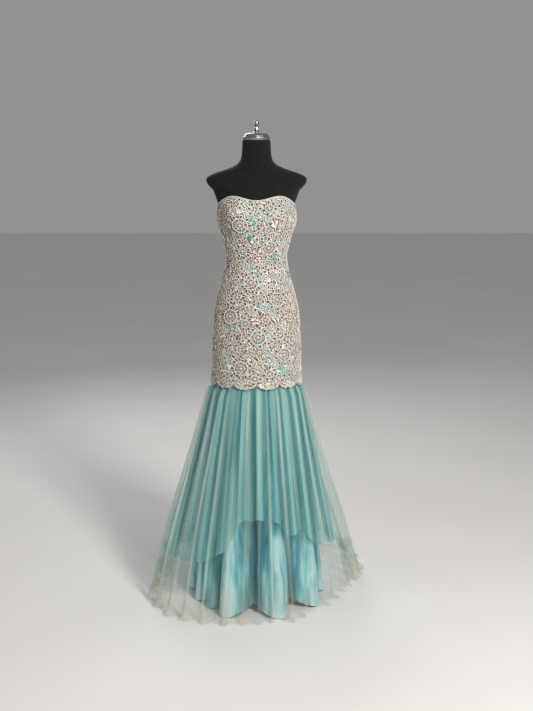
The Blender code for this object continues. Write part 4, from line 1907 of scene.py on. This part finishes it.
@dataclass
class SatinSkirt:
    """Innermost skirt, in deep flutes that stand on the floor."""

    shape: SkirtShape
    inset: float = 0.00985
    thickness: float = 0.0013
    breadth: float = 0.72
    fold_span: float = 20.0
    seam_gap_deg: float = 0.06
    crush: float = 0.0030
    crush_waves: Table = ((17, 1.0, 0.4), (29, 0.8, 2.0), (53, 0.4, 5.1))
    crush_lean: float = 26.0
    # Tone at the seam, painted as middling light by the satin.
    seam_tone: float = 0.35
    cloth_per_deg: float = 0.0042
    columns_per_deg: float = 0.9
    rows: int = 56
    sections: Table = (
        # z, share
        (0.836, 0.000),
        (0.804, 0.000),
        (0.740, 0.060),
        (0.560, 0.280),
        (0.340, 0.590),
        (0.120, 0.880),
        (0.002, 1.000),
    )
    folds: Table = (
        # crest_deg, crest_radius, valley_deg, valley_radius, valley_lift
        (-168.0, 0.330, -153.0, 0.250, 0.004),
        (-138.0, 0.305, -122.0, 0.225, 0.004),
        (-106.0, 0.262, -90.0, 0.195, 0.006),
        (-74.0, 0.232, -63.0, 0.185, 0.010),
        (-51.0, 0.226, -42.0, 0.192, 0.004),
        (-28.0, 0.258, -3.0, 0.168, 0.030),
        (20.0, 0.254, 42.0, 0.170, 0.034),
        (62.0, 0.252, 84.0, 0.200, 0.018),
        (100.0, 0.256, 116.0, 0.205, 0.006),
        (131.0, 0.300, 146.0, 0.235, 0.004),
        (162.0, 0.330, 177.0, 0.262, 0.004),
    )
    gores: tuple[Gore, ...] = (
        Gore("front_satin_gore", "satin_skirt_front", -42.0, 42.0, (0.46, 0.88), 0.27),
        Gore("side_satin_gore_r", "satin_skirt_side_r", 42.0, 116.0, (0.40, 0.88), 0.22),
        Gore("back_satin_gore_r", "satin_skirt_back_r", 116.0, 177.0, (0.42, 0.90), 0.24),
        Gore("back_satin_gore_l", "satin_skirt_back_l", 177.0, 238.0, (0.42, 0.90), 0.23),
        Gore("side_satin_gore_l", "satin_skirt_side_l", 238.0, 318.0, (0.42, 0.88), 0.24),
    )

    def outline(self, degrees: Array) -> tuple[Array, Array]:
        """Reach of the hem and its lift off the floor at each direction.

        Args:
            degrees: Directions.

        Returns:
            Reaches and lifts.
        """
        turns = []
        for crest_deg, crest, valley_deg, valley, lift in self.folds:
            turns.append((crest_deg, crest, 0.0, 1.0))
            turns.append((valley_deg, valley, lift, 0.0))
        first = turns[0]
        turns.append((first[0] + 360.0, *first[1:]))
        rows = np.array(turns)
        lap = (degrees - rows[0, 0]) % 360.0 + rows[0, 0]
        i = np.clip(np.searchsorted(rows[:, 0], lap, side="right") - 1, 0, len(rows) - 2)
        here, after = rows[i], rows[i + 1]
        x = ease((lap - here[:, 0]) / (after[:, 0] - here[:, 0]))
        crests = np.where(here[:, 3] > 0.5, 1.0 - x, x) ** self.breadth
        from_crest = here[:, 3] > 0.5
        crest = np.where(from_crest, here[:, 1], after[:, 1])
        valley = np.where(from_crest, after[:, 1], here[:, 1])
        lift = np.where(from_crest, after[:, 2], here[:, 2])
        return valley + (crest - valley) * crests, lift * (1.0 - crests)

    def crests(self, degrees: Array) -> Array:
        """1 on a crest of the hem and 0 in a valley, at each direction.

        Args:
            degrees: Directions.

        Returns:
            Numbers from 0 to 1.
        """
        near = np.linspace(-self.fold_span, self.fold_span, 25)
        reach = np.stack([self.outline(degrees + off)[0] for off in near])
        low, high = reach.min(axis=0), reach.max(axis=0)
        return (self.outline(degrees)[0] - low) / np.maximum(high - low, 0.004)

    def build(self, finishes: Finishes) -> None:
        """Makes the five gores.

        Args:
            finishes: Materials.
        """
        falling = tuple((float(k), *row) for k, row in enumerate(self.sections))
        steps = np.array([abs(a[0] - b[0]) for a, b in zip(self.sections, self.sections[1:])])
        marks = np.concatenate([[0.0], np.cumsum(steps)]) / steps.sum()
        for gore in self.gores:
            span = gore.last_deg - gore.first_deg

            def place(u: Array, v: Array, gore: Gore = gore, span: float = span) -> Laid:
                """Points, cloth coordinates and tone at shares across and up the gore.

                Args:
                    u: Shares across.
                    v: Shares up.
                    gore: The gore.
                    span: Its width in degrees.

                Returns:
                    Points, cloth coordinates and tone.
                """
                gap = self.seam_gap_deg
                degrees = gore.first_deg + gap + (span - 2 * gap) * u
                radius, lift = self.outline(degrees)
                row = np.interp(1.0 - v, marks, np.arange(len(marks)))
                values = smooth_rows(falling, row)
                z, share = values[..., 0], np.maximum(values[..., 1], 0.0)
                crush = unevenness(degrees + self.crush_lean * z, self.crush_waves)
                patch = 0.5 + 0.5 * np.sin(11.0 * z + 0.09 * degrees)
                crush = crush * patch * self.crush * share
                points = self.shape.spread(
                    degrees, self.inset, radius, share, z + lift * share**4, crush
                )
                # Tone for the satin's painted light and shade: lighter on the hem's crests, darker
                # in its valleys.
                away = self.crests(degrees) - self.seam_tone
                tone = self.seam_tone + away * np.sqrt(share)
                return points, np.stack([degrees * self.cloth_per_deg, z], axis=-1), tone

            cloth = lay_sheet(gore.piece, int(span * self.columns_per_deg), self.rows, place)
            apply_modifier(cloth, "SOLIDIFY", thickness=self.thickness, offset=0.0)
            shade_soft(cloth)
            finish(cloth, finishes.satin, stands_for=(gore.node,))
            declare(cloth, gore.area)


@dataclass
class AquaTulleSkirt:
    """Middle skirt of aqua tulle, shorter than the satin."""

    shape: SkirtShape
    inset: float = 0.0069
    seam_gap_deg: float = 0.06
    hem_waves: Table = ((19, 0.0035, 0.3), (33, 0.002, 1.0))
    tone_range: float = 0.019
    columns_per_deg: float = 1.8
    rows: int = 40
    plan: GatherPlan = GatherPlan(22, 9, 0.004, 0.011, 92, 0.0016, 0.0040)
    outline: Table = (
        # direction_deg, radius, hem_z
        (-180.0, 0.500, 0.150),
        (-150.0, 0.450, 0.150),
        (-120.0, 0.360, 0.150),
        (-90.0, 0.345, 0.155),
        (-60.0, 0.325, 0.185),
        (-40.0, 0.305, 0.206),
        (-27.0, 0.285, 0.246),
        (-18.0, 0.275, 0.322),
        (-12.0, 0.270, 0.350),
        (4.0, 0.268, 0.352),
        (18.0, 0.268, 0.346),
        (25.0, 0.268, 0.312),
        (33.0, 0.270, 0.292),
        (46.0, 0.272, 0.298),
        (58.0, 0.280, 0.242),
        (80.0, 0.300, 0.215),
        (110.0, 0.345, 0.180),
        (145.0, 0.450, 0.155),
    )
    gores: tuple[Gore, ...] = (
        Gore("front_aqua_tulle", "aqua_tulle_front", -90.0, 90.0, (1.00, 0.62), 0.44),
        Gore("back_aqua_tulle_r", "aqua_tulle_back_r", 90.0, 180.0, (0.68, 0.74), 0.32),
        Gore("back_aqua_tulle_l", "aqua_tulle_back_l", 180.0, 270.0, (0.68, 0.74), 0.32),
    )

    def build(self, finishes: Finishes) -> None:
        """Makes the three gores.

        Args:
            finishes: Materials.
        """
        rising = self.shape.sections[::-1]
        for gore in self.gores:
            span = gore.last_deg - gore.first_deg

            def place(u: Array, v: Array, gore: Gore = gore, span: float = span) -> Laid:
                """Points, cloth coordinates and tone at shares across and up the gore.

                Args:
                    u: Shares across.
                    v: Shares up.
                    gore: The gore.
                    span: Its width in degrees.

                Returns:
                    Points, cloth coordinates and tone.
                """
                gap = self.seam_gap_deg
                degrees = gore.first_deg + gap + (span - 2 * gap) * u
                values = round_rows(self.outline, degrees)
                hem = values[..., 1] + unevenness(degrees, self.hem_waves)
                z = self.shape.top + (hem - self.shape.top) * (1.0 - v)
                share = self.shape.share_towards(degrees, smooth_rows(rising, z))
                wave = self.plan.wave(degrees, share, z)
                points = self.shape.spread(
                    degrees, self.inset, values[..., 0], share, z, wave
                )
                # Tone of the gathers, high out and low in: the tulle paints light on the crests and
                # shade in the valleys from it, and makes its veil denser on the crests.
                tone = 0.5 + wave / (self.tone_range * np.maximum(share, 0.1))
                return points, np.stack([degrees / 360.0, z], axis=-1), tone

            cloth = lay_sheet(gore.piece, int(span * self.columns_per_deg), self.rows, place)
            shade_soft(cloth, 180.0)
            finish(cloth, finishes.aqua_tulle, stands_for=(gore.node,))
            declare(cloth, gore.area)


@dataclass
class OuterTulleSkirt:
    """Outer skirt of champagne tulle, which trails on the floor behind."""

    shape: SkirtShape
    inset: float = 0.0032
    plan: GatherPlan = GatherPlan(30, 5, 0.007, 0.020, 124, 0.0024, 0.0060)
    outline: Table = (
        # direction_deg, radius, lift
        (-180.0, 0.800, 0.000),
        (-162.0, 0.780, 0.000),
        (-146.0, 0.680, 0.000),
        (-133.0, 0.530, 0.000),
        (-118.0, 0.415, 0.000),
        (-102.0, 0.376, 0.000),
        (-86.0, 0.396, 0.000),
        (-68.0, 0.380, 0.000),
        (-50.0, 0.366, 0.000),
        (-30.0, 0.330, 0.000),
        (-12.0, 0.302, 0.002),
        (4.0, 0.290, 0.006),
        (17.0, 0.286, 0.014),
        (30.0, 0.300, 0.002),
        (43.0, 0.292, 0.028),
        (60.0, 0.312, 0.040),
        (76.0, 0.330, 0.044),
        (92.0, 0.356, 0.036),
        (106.0, 0.400, 0.014),
        (119.0, 0.460, 0.000),
        (134.0, 0.550, 0.000),
        (147.0, 0.690, 0.000),
        (163.0, 0.790, 0.000),
    )
    seam_gap_deg: float = 0.05
    ruffle: float = 0.0120
    ruffle_waves: Table = ((62, 0.6, 0.9), (39, 0.4, 2.1))
    ruffled_from: float = 0.80
    ragged_waves: Table = ((27, 0.008, 0.2), (58, 0.005, 1.4), (83, 0.003, 3.0))
    ragged_from: float = 0.85
    tone_range: float = 0.030
    train_weight: float = 0.70
    columns_per_deg: float = 2.2
    rows: int = 56
    gores: tuple[Gore, ...] = (
        Gore("front_tulle_gore", "tulle_skirt_front", -48.0, 48.0, (0.72, 0.90), 0.44),
        Gore("side_front_tulle_r", "tulle_skirt_side_front_r", 48.0, 90.0, (0.32, 0.90), 0.19),
        Gore("side_back_tulle_r", "tulle_skirt_side_back_r", 90.0, 138.0, (0.52, 1.00), 0.32),
        Gore("back_tulle_r", "tulle_skirt_back_r", 138.0, 180.0, (0.72, 1.22), 0.42),
        Gore("back_tulle_l", "tulle_skirt_back_l", 180.0, 222.0, (0.72, 1.22), 0.42),
        Gore("side_back_tulle_l", "tulle_skirt_side_back_l", 222.0, 270.0, (0.52, 1.00), 0.32),
        Gore("side_front_tulle_l", "tulle_skirt_side_front_l", 270.0, 312.0, (0.38, 0.92), 0.24),
    )

    def build(self, finishes: Finishes) -> None:
        """Makes the seven gores.

        Args:
            finishes: Materials.
        """
        rows = self.shape.sections
        falling = tuple((float(k), *row) for k, row in enumerate(rows))
        steps = np.array(
            [
                math.hypot(a[0] - b[0], self.train_weight * (a[3] - b[3]))
                for a, b in zip(rows, rows[1:])
            ]
        )
        marks = np.concatenate([[0.0], np.cumsum(steps)]) / steps.sum()
        for gore in self.gores:
            span = gore.last_deg - gore.first_deg

            def place(u: Array, v: Array, gore: Gore = gore, span: float = span) -> Laid:
                """Points, cloth coordinates and tone at shares across and up the gore.

                Args:
                    u: Shares across.
                    v: Shares up.
                    gore: The gore.
                    span: Its width in degrees.

                Returns:
                    Points, cloth coordinates and tone.
                """
                gap = self.seam_gap_deg
                degrees = gore.first_deg + gap + (span - 2 * gap) * u
                values = round_rows(self.outline, degrees)
                radius, lift = values[..., 0], np.maximum(values[..., 1], 0.0)
                row = np.interp(1.0 - v, marks, np.arange(len(marks)))
                down = smooth_rows(falling, row)
                share = self.shape.share_towards(degrees, down[..., 1:])
                z = down[..., 0] + lift * share**4
                ruffle = np.clip(0.5 + 0.5 * unevenness(degrees, self.ruffle_waves), 0.0, 1.0)
                ruffled = ease((share - self.ruffled_from) / (1.0 - self.ruffled_from))
                z = z + self.ruffle * ruffle * ruffled
                ragged = np.maximum(unevenness(degrees, self.ragged_waves), 0.0)
                frayed = ease((share - self.ragged_from) / (1.0 - self.ragged_from))
                radius = radius - ragged * frayed
                wave = self.plan.wave(degrees, share, z)
                points = self.shape.spread(degrees, self.inset, radius, share, z, wave)
                # Tone of the gathers, high out and low in: the tulle paints light on the crests and
                # shade in the valleys from it, and makes its veil denser on the crests.
                tone = 0.5 + wave / (self.tone_range * np.maximum(share, 0.1))
                return points, np.stack([degrees / 360.0, z], axis=-1), tone

            cloth = lay_sheet(gore.piece, int(span * self.columns_per_deg), self.rows, place)
            shade_soft(cloth, 180.0)
            finish(cloth, finishes.champagne_tulle, stands_for=(gore.node,))
            declare(cloth, gore.area)


# Dress form, stand and zip.


@dataclass
class DressForm:
    """Jersey-covered form under the gown, with its seams, cap and stand."""

    body: BodyShape
    bottom: float = 0.875
    inset: float = 0.0016
    top: float = 1.666
    shoulders: Table = (
        # z, half_width, front, back, squareness
        (1.494, 0.1500, 0.076, 0.084, 2.3),
        (1.516, 0.1700, 0.062, 0.074, 2.6),
        (1.536, 0.1730, 0.052, 0.064, 2.6),
        (1.551, 0.1480, 0.050, 0.060, 2.4),
        (1.567, 0.1000, 0.051, 0.058, 2.2),
        (1.581, 0.0700, 0.052, 0.056, 2.0),
        (1.602, 0.0535, 0.050, 0.051, 2.0),
        (1.666, 0.0475, 0.0475, 0.0475, 2.0),
    )
    cover_shares: tuple[float, ...] = (0.0, 0.42, 0.52, 1.0)
    columns: int = 96
    rows: int = 60
    seams_deg: tuple[float, ...] = (0.0, 42.0, 90.0, 138.0, 180.0, -138.0, -90.0, -42.0)
    seam_profile: Table = (
        # aside, out
        (-0.0013, -0.0004),
        (-0.0007, 0.0006),
        (0.0, 0.0009),
        (0.0007, 0.0006),
        (0.0013, -0.0004),
    )

    def surface(self, degrees: Array, rise: Array) -> Array:
        """Points of the form.

        Args:
            degrees: Directions.
            rise: 0 at the bottom, 1 at the neckline, 2 at the first shoulder row, 3 at the top.

        Returns:
            One point for each place.
        """
        edge = self.body.neckline(degrees) - 0.001
        low = self.bottom + (edge - self.bottom) * np.clip(rise, 0.0, 1.0)
        lower = self.body.raised(degrees, low, np.full_like(low, -self.inset))
        first = self.shoulders[0][0]
        high = first + (self.top - first) * np.clip(rise - 2.0, 0.0, 1.0)
        values = smooth_rows(self.shoulders, high)
        power = 2.0 / values[..., 3]
        across, along = direction_of(degrees)
        across = np.sign(across) * np.abs(across) ** power
        along = np.sign(along) * np.abs(along) ** power
        reach = np.where(along < 0, values[..., 1], values[..., 2])
        upper = np.stack([values[..., 0] * across, reach * along, high], axis=-1)
        share = ease(np.clip(rise - 1.0, 0.0, 1.0))[..., None]
        return lower * (1 - share) + upper * share

    def cover(self, finishes: Finishes) -> None:
        """Makes the closed jersey cover.

        Args:
            finishes: Materials.
        """

        def place(u: Array, v: Array) -> Laid:
            """Points, cloth coordinates and tone at shares across and up the cover.

            Args:
                u: Shares across.
                v: Shares up.

            Returns:
                Points, cloth coordinates and tone.
            """
            rise = np.interp(v, self.cover_shares, (0.0, 1.0, 2.0, 3.0))
            points = self.surface(360.0 * u, rise)
            return points, np.stack([u, points[..., 2]], axis=-1), np.ones_like(u)

        cover = lay_sheet("form_jersey_cover", self.columns, self.rows, place)
        clear_selection()
        cover.select_set(True)
        bpy.context.view_layer.objects.active = cover
        bpy.ops.object.mode_set(mode="EDIT")
        bpy.ops.mesh.select_all(action="SELECT")
        bpy.ops.mesh.remove_doubles(threshold=0.00005)
        bpy.ops.mesh.select_all(action="DESELECT")
        bpy.ops.mesh.select_non_manifold(extend=False)
        bpy.ops.mesh.edge_face_add()
        bpy.ops.mesh.select_all(action="SELECT")
        bpy.ops.mesh.normals_make_consistent(inside=False)
        bpy.ops.object.mode_set(mode="OBJECT")
        shade_soft(cover, 50.0)
        finish(cover, finishes.jersey, stands_for=("form_torso",))

    def seams(self, finishes: Finishes) -> None:
        """Makes the raised seams of the cover, above the gown.

        Args:
            finishes: Materials.
        """
        welt = Stitchwork()
        steps = self.rows
        rise = np.linspace(1.02, 2.98, steps + 1)
        for seam in self.seams_deg:
            middle = self.surface(np.full(steps + 1, seam), rise)
            ahead = self.surface(np.full(steps + 1, seam + 1.0), rise)
            behind = self.surface(np.full(steps + 1, seam - 1.0), rise)
            aside = unit(ahead - behind)
            out = unit(np.cross(aside, unit(np.gradient(middle, axis=0))))
            lines = [middle + aside * off + out * lift for off, lift in self.seam_profile]
            welt.add(np.vstack(lines), ribbon_faces(len(lines), steps, upwards=False))
        finish(welt.piece("form_seams"), finishes.jersey)

    def dress_metal(self, finishes: Finishes) -> None:
        """Gives the CAD metal nodes their finishes.

        Args:
            finishes: Materials.
        """
        for node, material in (
            ("neck_cap", finishes.chrome),
            ("neck_finial", finishes.chrome),
            ("stand_pole", finishes.black_steel),
            ("stand_base", finishes.black_steel),
            ("zip_slider", finishes.chrome),
            ("zip_pull", finishes.chrome),
        ):
            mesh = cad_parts[node].data
            mesh.materials.clear()
            mesh.materials.append(material)
            LOG.info("%s: CAD node with %s", node, material.name)


@dataclass
class BackZip:
    """Centre back zip: two tapes and their teeth, under the slider."""

    body: BodyShape
    top: float = 1.3985
    bottom: float = 1.062
    gap_deg: float = 0.12
    tape_deg: float = 4.0
    tape_out: float = 0.0007
    tape_thickness: float = 0.0006
    pitch: float = 0.0030
    tooth: tuple[float, float, float] = (0.0026, 0.0016, 0.0012)
    tooth_bevel: float = 0.0003
    tooth_out: float = 0.0012
    tooth_aside: float = 0.0007
    slider_length: float = 0.014

    def tapes(self, finishes: Finishes) -> None:
        """Makes the two tapes, either side of the teeth.

        Args:
            finishes: Materials.
        """
        for side, sign in (("r", 1.0), ("l", -1.0)):

            def place(u: Array, v: Array, sign: float = sign) -> Laid:
                """Points, cloth coordinates and tone at shares across and up the tape.

                Args:
                    u: Shares across.
                    v: Shares up.
                    sign: 1 for the right tape and -1 for the left.

                Returns:
                    Points, cloth coordinates and tone.
                """
                share = u if sign > 0 else 1.0 - u
                off = self.gap_deg + (self.tape_deg - self.gap_deg) * share
                z = self.bottom + (self.top - self.bottom) * v
                points = self.body.raised(180.0 - sign * off, z, np.full_like(z, self.tape_out))
                return points, np.stack([off, z], axis=-1), np.ones_like(z)

            tape = lay_sheet("zip_tape_" + side, 4, 90, place)
            clear_selection()
            tape.select_set(True)
            bpy.context.view_layer.objects.active = tape
            if tape.data.polygons[0].normal.y < 0:
                bpy.ops.object.mode_set(mode="EDIT")
                bpy.ops.mesh.select_all(action="SELECT")
                bpy.ops.mesh.flip_normals()
                bpy.ops.object.mode_set(mode="OBJECT")
            apply_modifier(tape, "SOLIDIFY", thickness=self.tape_thickness, offset=-1.0)
            shade_soft(tape)
            finish(tape, finishes.tape)

    def teeth(self, finishes: Finishes) -> None:
        """Makes the closed row of teeth, from one modelled tooth.

        Args:
            finishes: Materials.
        """
        clear_selection()
        bpy.ops.mesh.primitive_cube_add(size=1.0)
        tooth = active_piece("tooth")
        tooth.scale = self.tooth
        bpy.ops.object.transform_apply(location=False, rotation=False, scale=True)
        apply_modifier(tooth, "BEVEL", width=self.tooth_bevel, segments=1)
        shape = SmallShape.taken_from(tooth)
        row = Stitchwork()
        count = int((self.top - self.slider_length - self.bottom) / self.pitch * 2)
        for k in range(count):
            z = self.bottom + k * self.pitch / 2
            sign = 1.0 if k % 2 else -1.0
            middle = self.body.raised(np.array([180.0]), np.array([z]), np.array([self.tooth_out]))
            place = middle[0] + (sign * self.tooth_aside, 0.0, 0.0)
            row.add(shape.points + place, shape.faces)
        finish(row.piece("zip_teeth"), finishes.chrome)


# Studio.


@dataclass(frozen=True)
class SoftLight:
    """One soft box, aimed at a point of the gown."""

    name: str
    place: tuple[float, float, float]
    aim: tuple[float, float, float]
    size: float
    power: float
    colour: Colour = (1.0, 1.0, 1.0)

    def make(self) -> None:
        """Adds the light."""
        bpy.ops.object.light_add(type="AREA", location=self.place)
        lamp = bpy.context.object
        lamp.name = self.name
        lamp.data.size = self.size
        lamp.data.energy = self.power
        lamp.data.color = self.colour
        way = Vector(self.aim) - Vector(self.place)
        lamp.rotation_euler = way.to_track_quat("-Z", "Y").to_euler()


@dataclass
class Studio:
    """Pale floor, soft light and the photograph's camera."""

    camera_place: tuple[float, float, float] = (0.0, -4.2, 1.72)
    pitch_deg: float = 10.98
    lens: float = 60.35
    sensor: float = 36.0
    shift: float = 0.0141
    floor: float = 30.0
    world: Colour = (0.80, 0.80, 0.80)
    world_strength: float = 0.36
    lights: tuple[SoftLight, ...] = (
        SoftLight("key", (1.5, -2.9, 2.9), (0.0, 0.0, 0.9), 0.7, 135.0, (1.0, 0.96, 0.91)),
        SoftLight("fill", (-2.6, -2.2, 1.6), (0.0, 0.0, 0.8), 2.0, 5.0, (0.92, 0.97, 1.0)),
        SoftLight("back", (-0.8, 2.8, 2.6), (0.0, 0.0, 0.9), 1.6, 30.0),
    )

    def build(self) -> None:
        """Adds the floor, the lights, the world and the camera."""
        clear_selection()
        bpy.ops.mesh.primitive_plane_add(size=self.floor)
        floor = active_piece("studio_floor")
        floor.data.materials.append(PaleFloor().make())
        for light in self.lights:
            light.make()
        scene = bpy.context.scene
        scene.world = scene.world or bpy.data.worlds.new("studio")
        scene.world.use_nodes = True
        sky = scene.world.node_tree.nodes["Background"]
        sky.inputs["Color"].default_value = (*self.world, 1.0)
        sky.inputs["Strength"].default_value = self.world_strength
        bpy.ops.object.camera_add(
            location=self.camera_place, rotation=(math.radians(90.0 - self.pitch_deg), 0.0, 0.0)
        )
        camera = bpy.context.object
        camera.name = "photo_camera"
        camera.data.lens = self.lens
        camera.data.sensor_width = self.sensor
        camera.data.shift_x = self.shift
        scene.camera = camera
        scene.view_settings.view_transform = "Standard"


def write_sizes() -> None:
    """Updates the view layer."""
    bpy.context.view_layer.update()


def main() -> None:
    """Builds the gown from the form outwards, then the studio."""
    logging.basicConfig(level=logging.INFO, format="%(name)s: %(message)s")
    for name in ("Cube", "Light", "Camera"):
        if name in bpy.data.objects:
            bpy.data.objects.remove(bpy.data.objects[name])
    finishes = Finishes()
    body = BodyShape()
    shape = SkirtShape(body)
    form = DressForm(body)
    form.cover(finishes)
    form.seams(finishes)
    form.dress_metal(finishes)
    SatinSkirt(shape).build(finishes)
    AquaTulleSkirt(shape).build(finishes)
    OuterTulleSkirt(shape).build(finishes)
    LaceSheath(body).build(finishes)
    back_zip = BackZip(body)
    back_zip.tapes(finishes)
    back_zip.teeth(finishes)
    Studio().build()
    write_sizes()


if __name__ == "__main__":
    main()
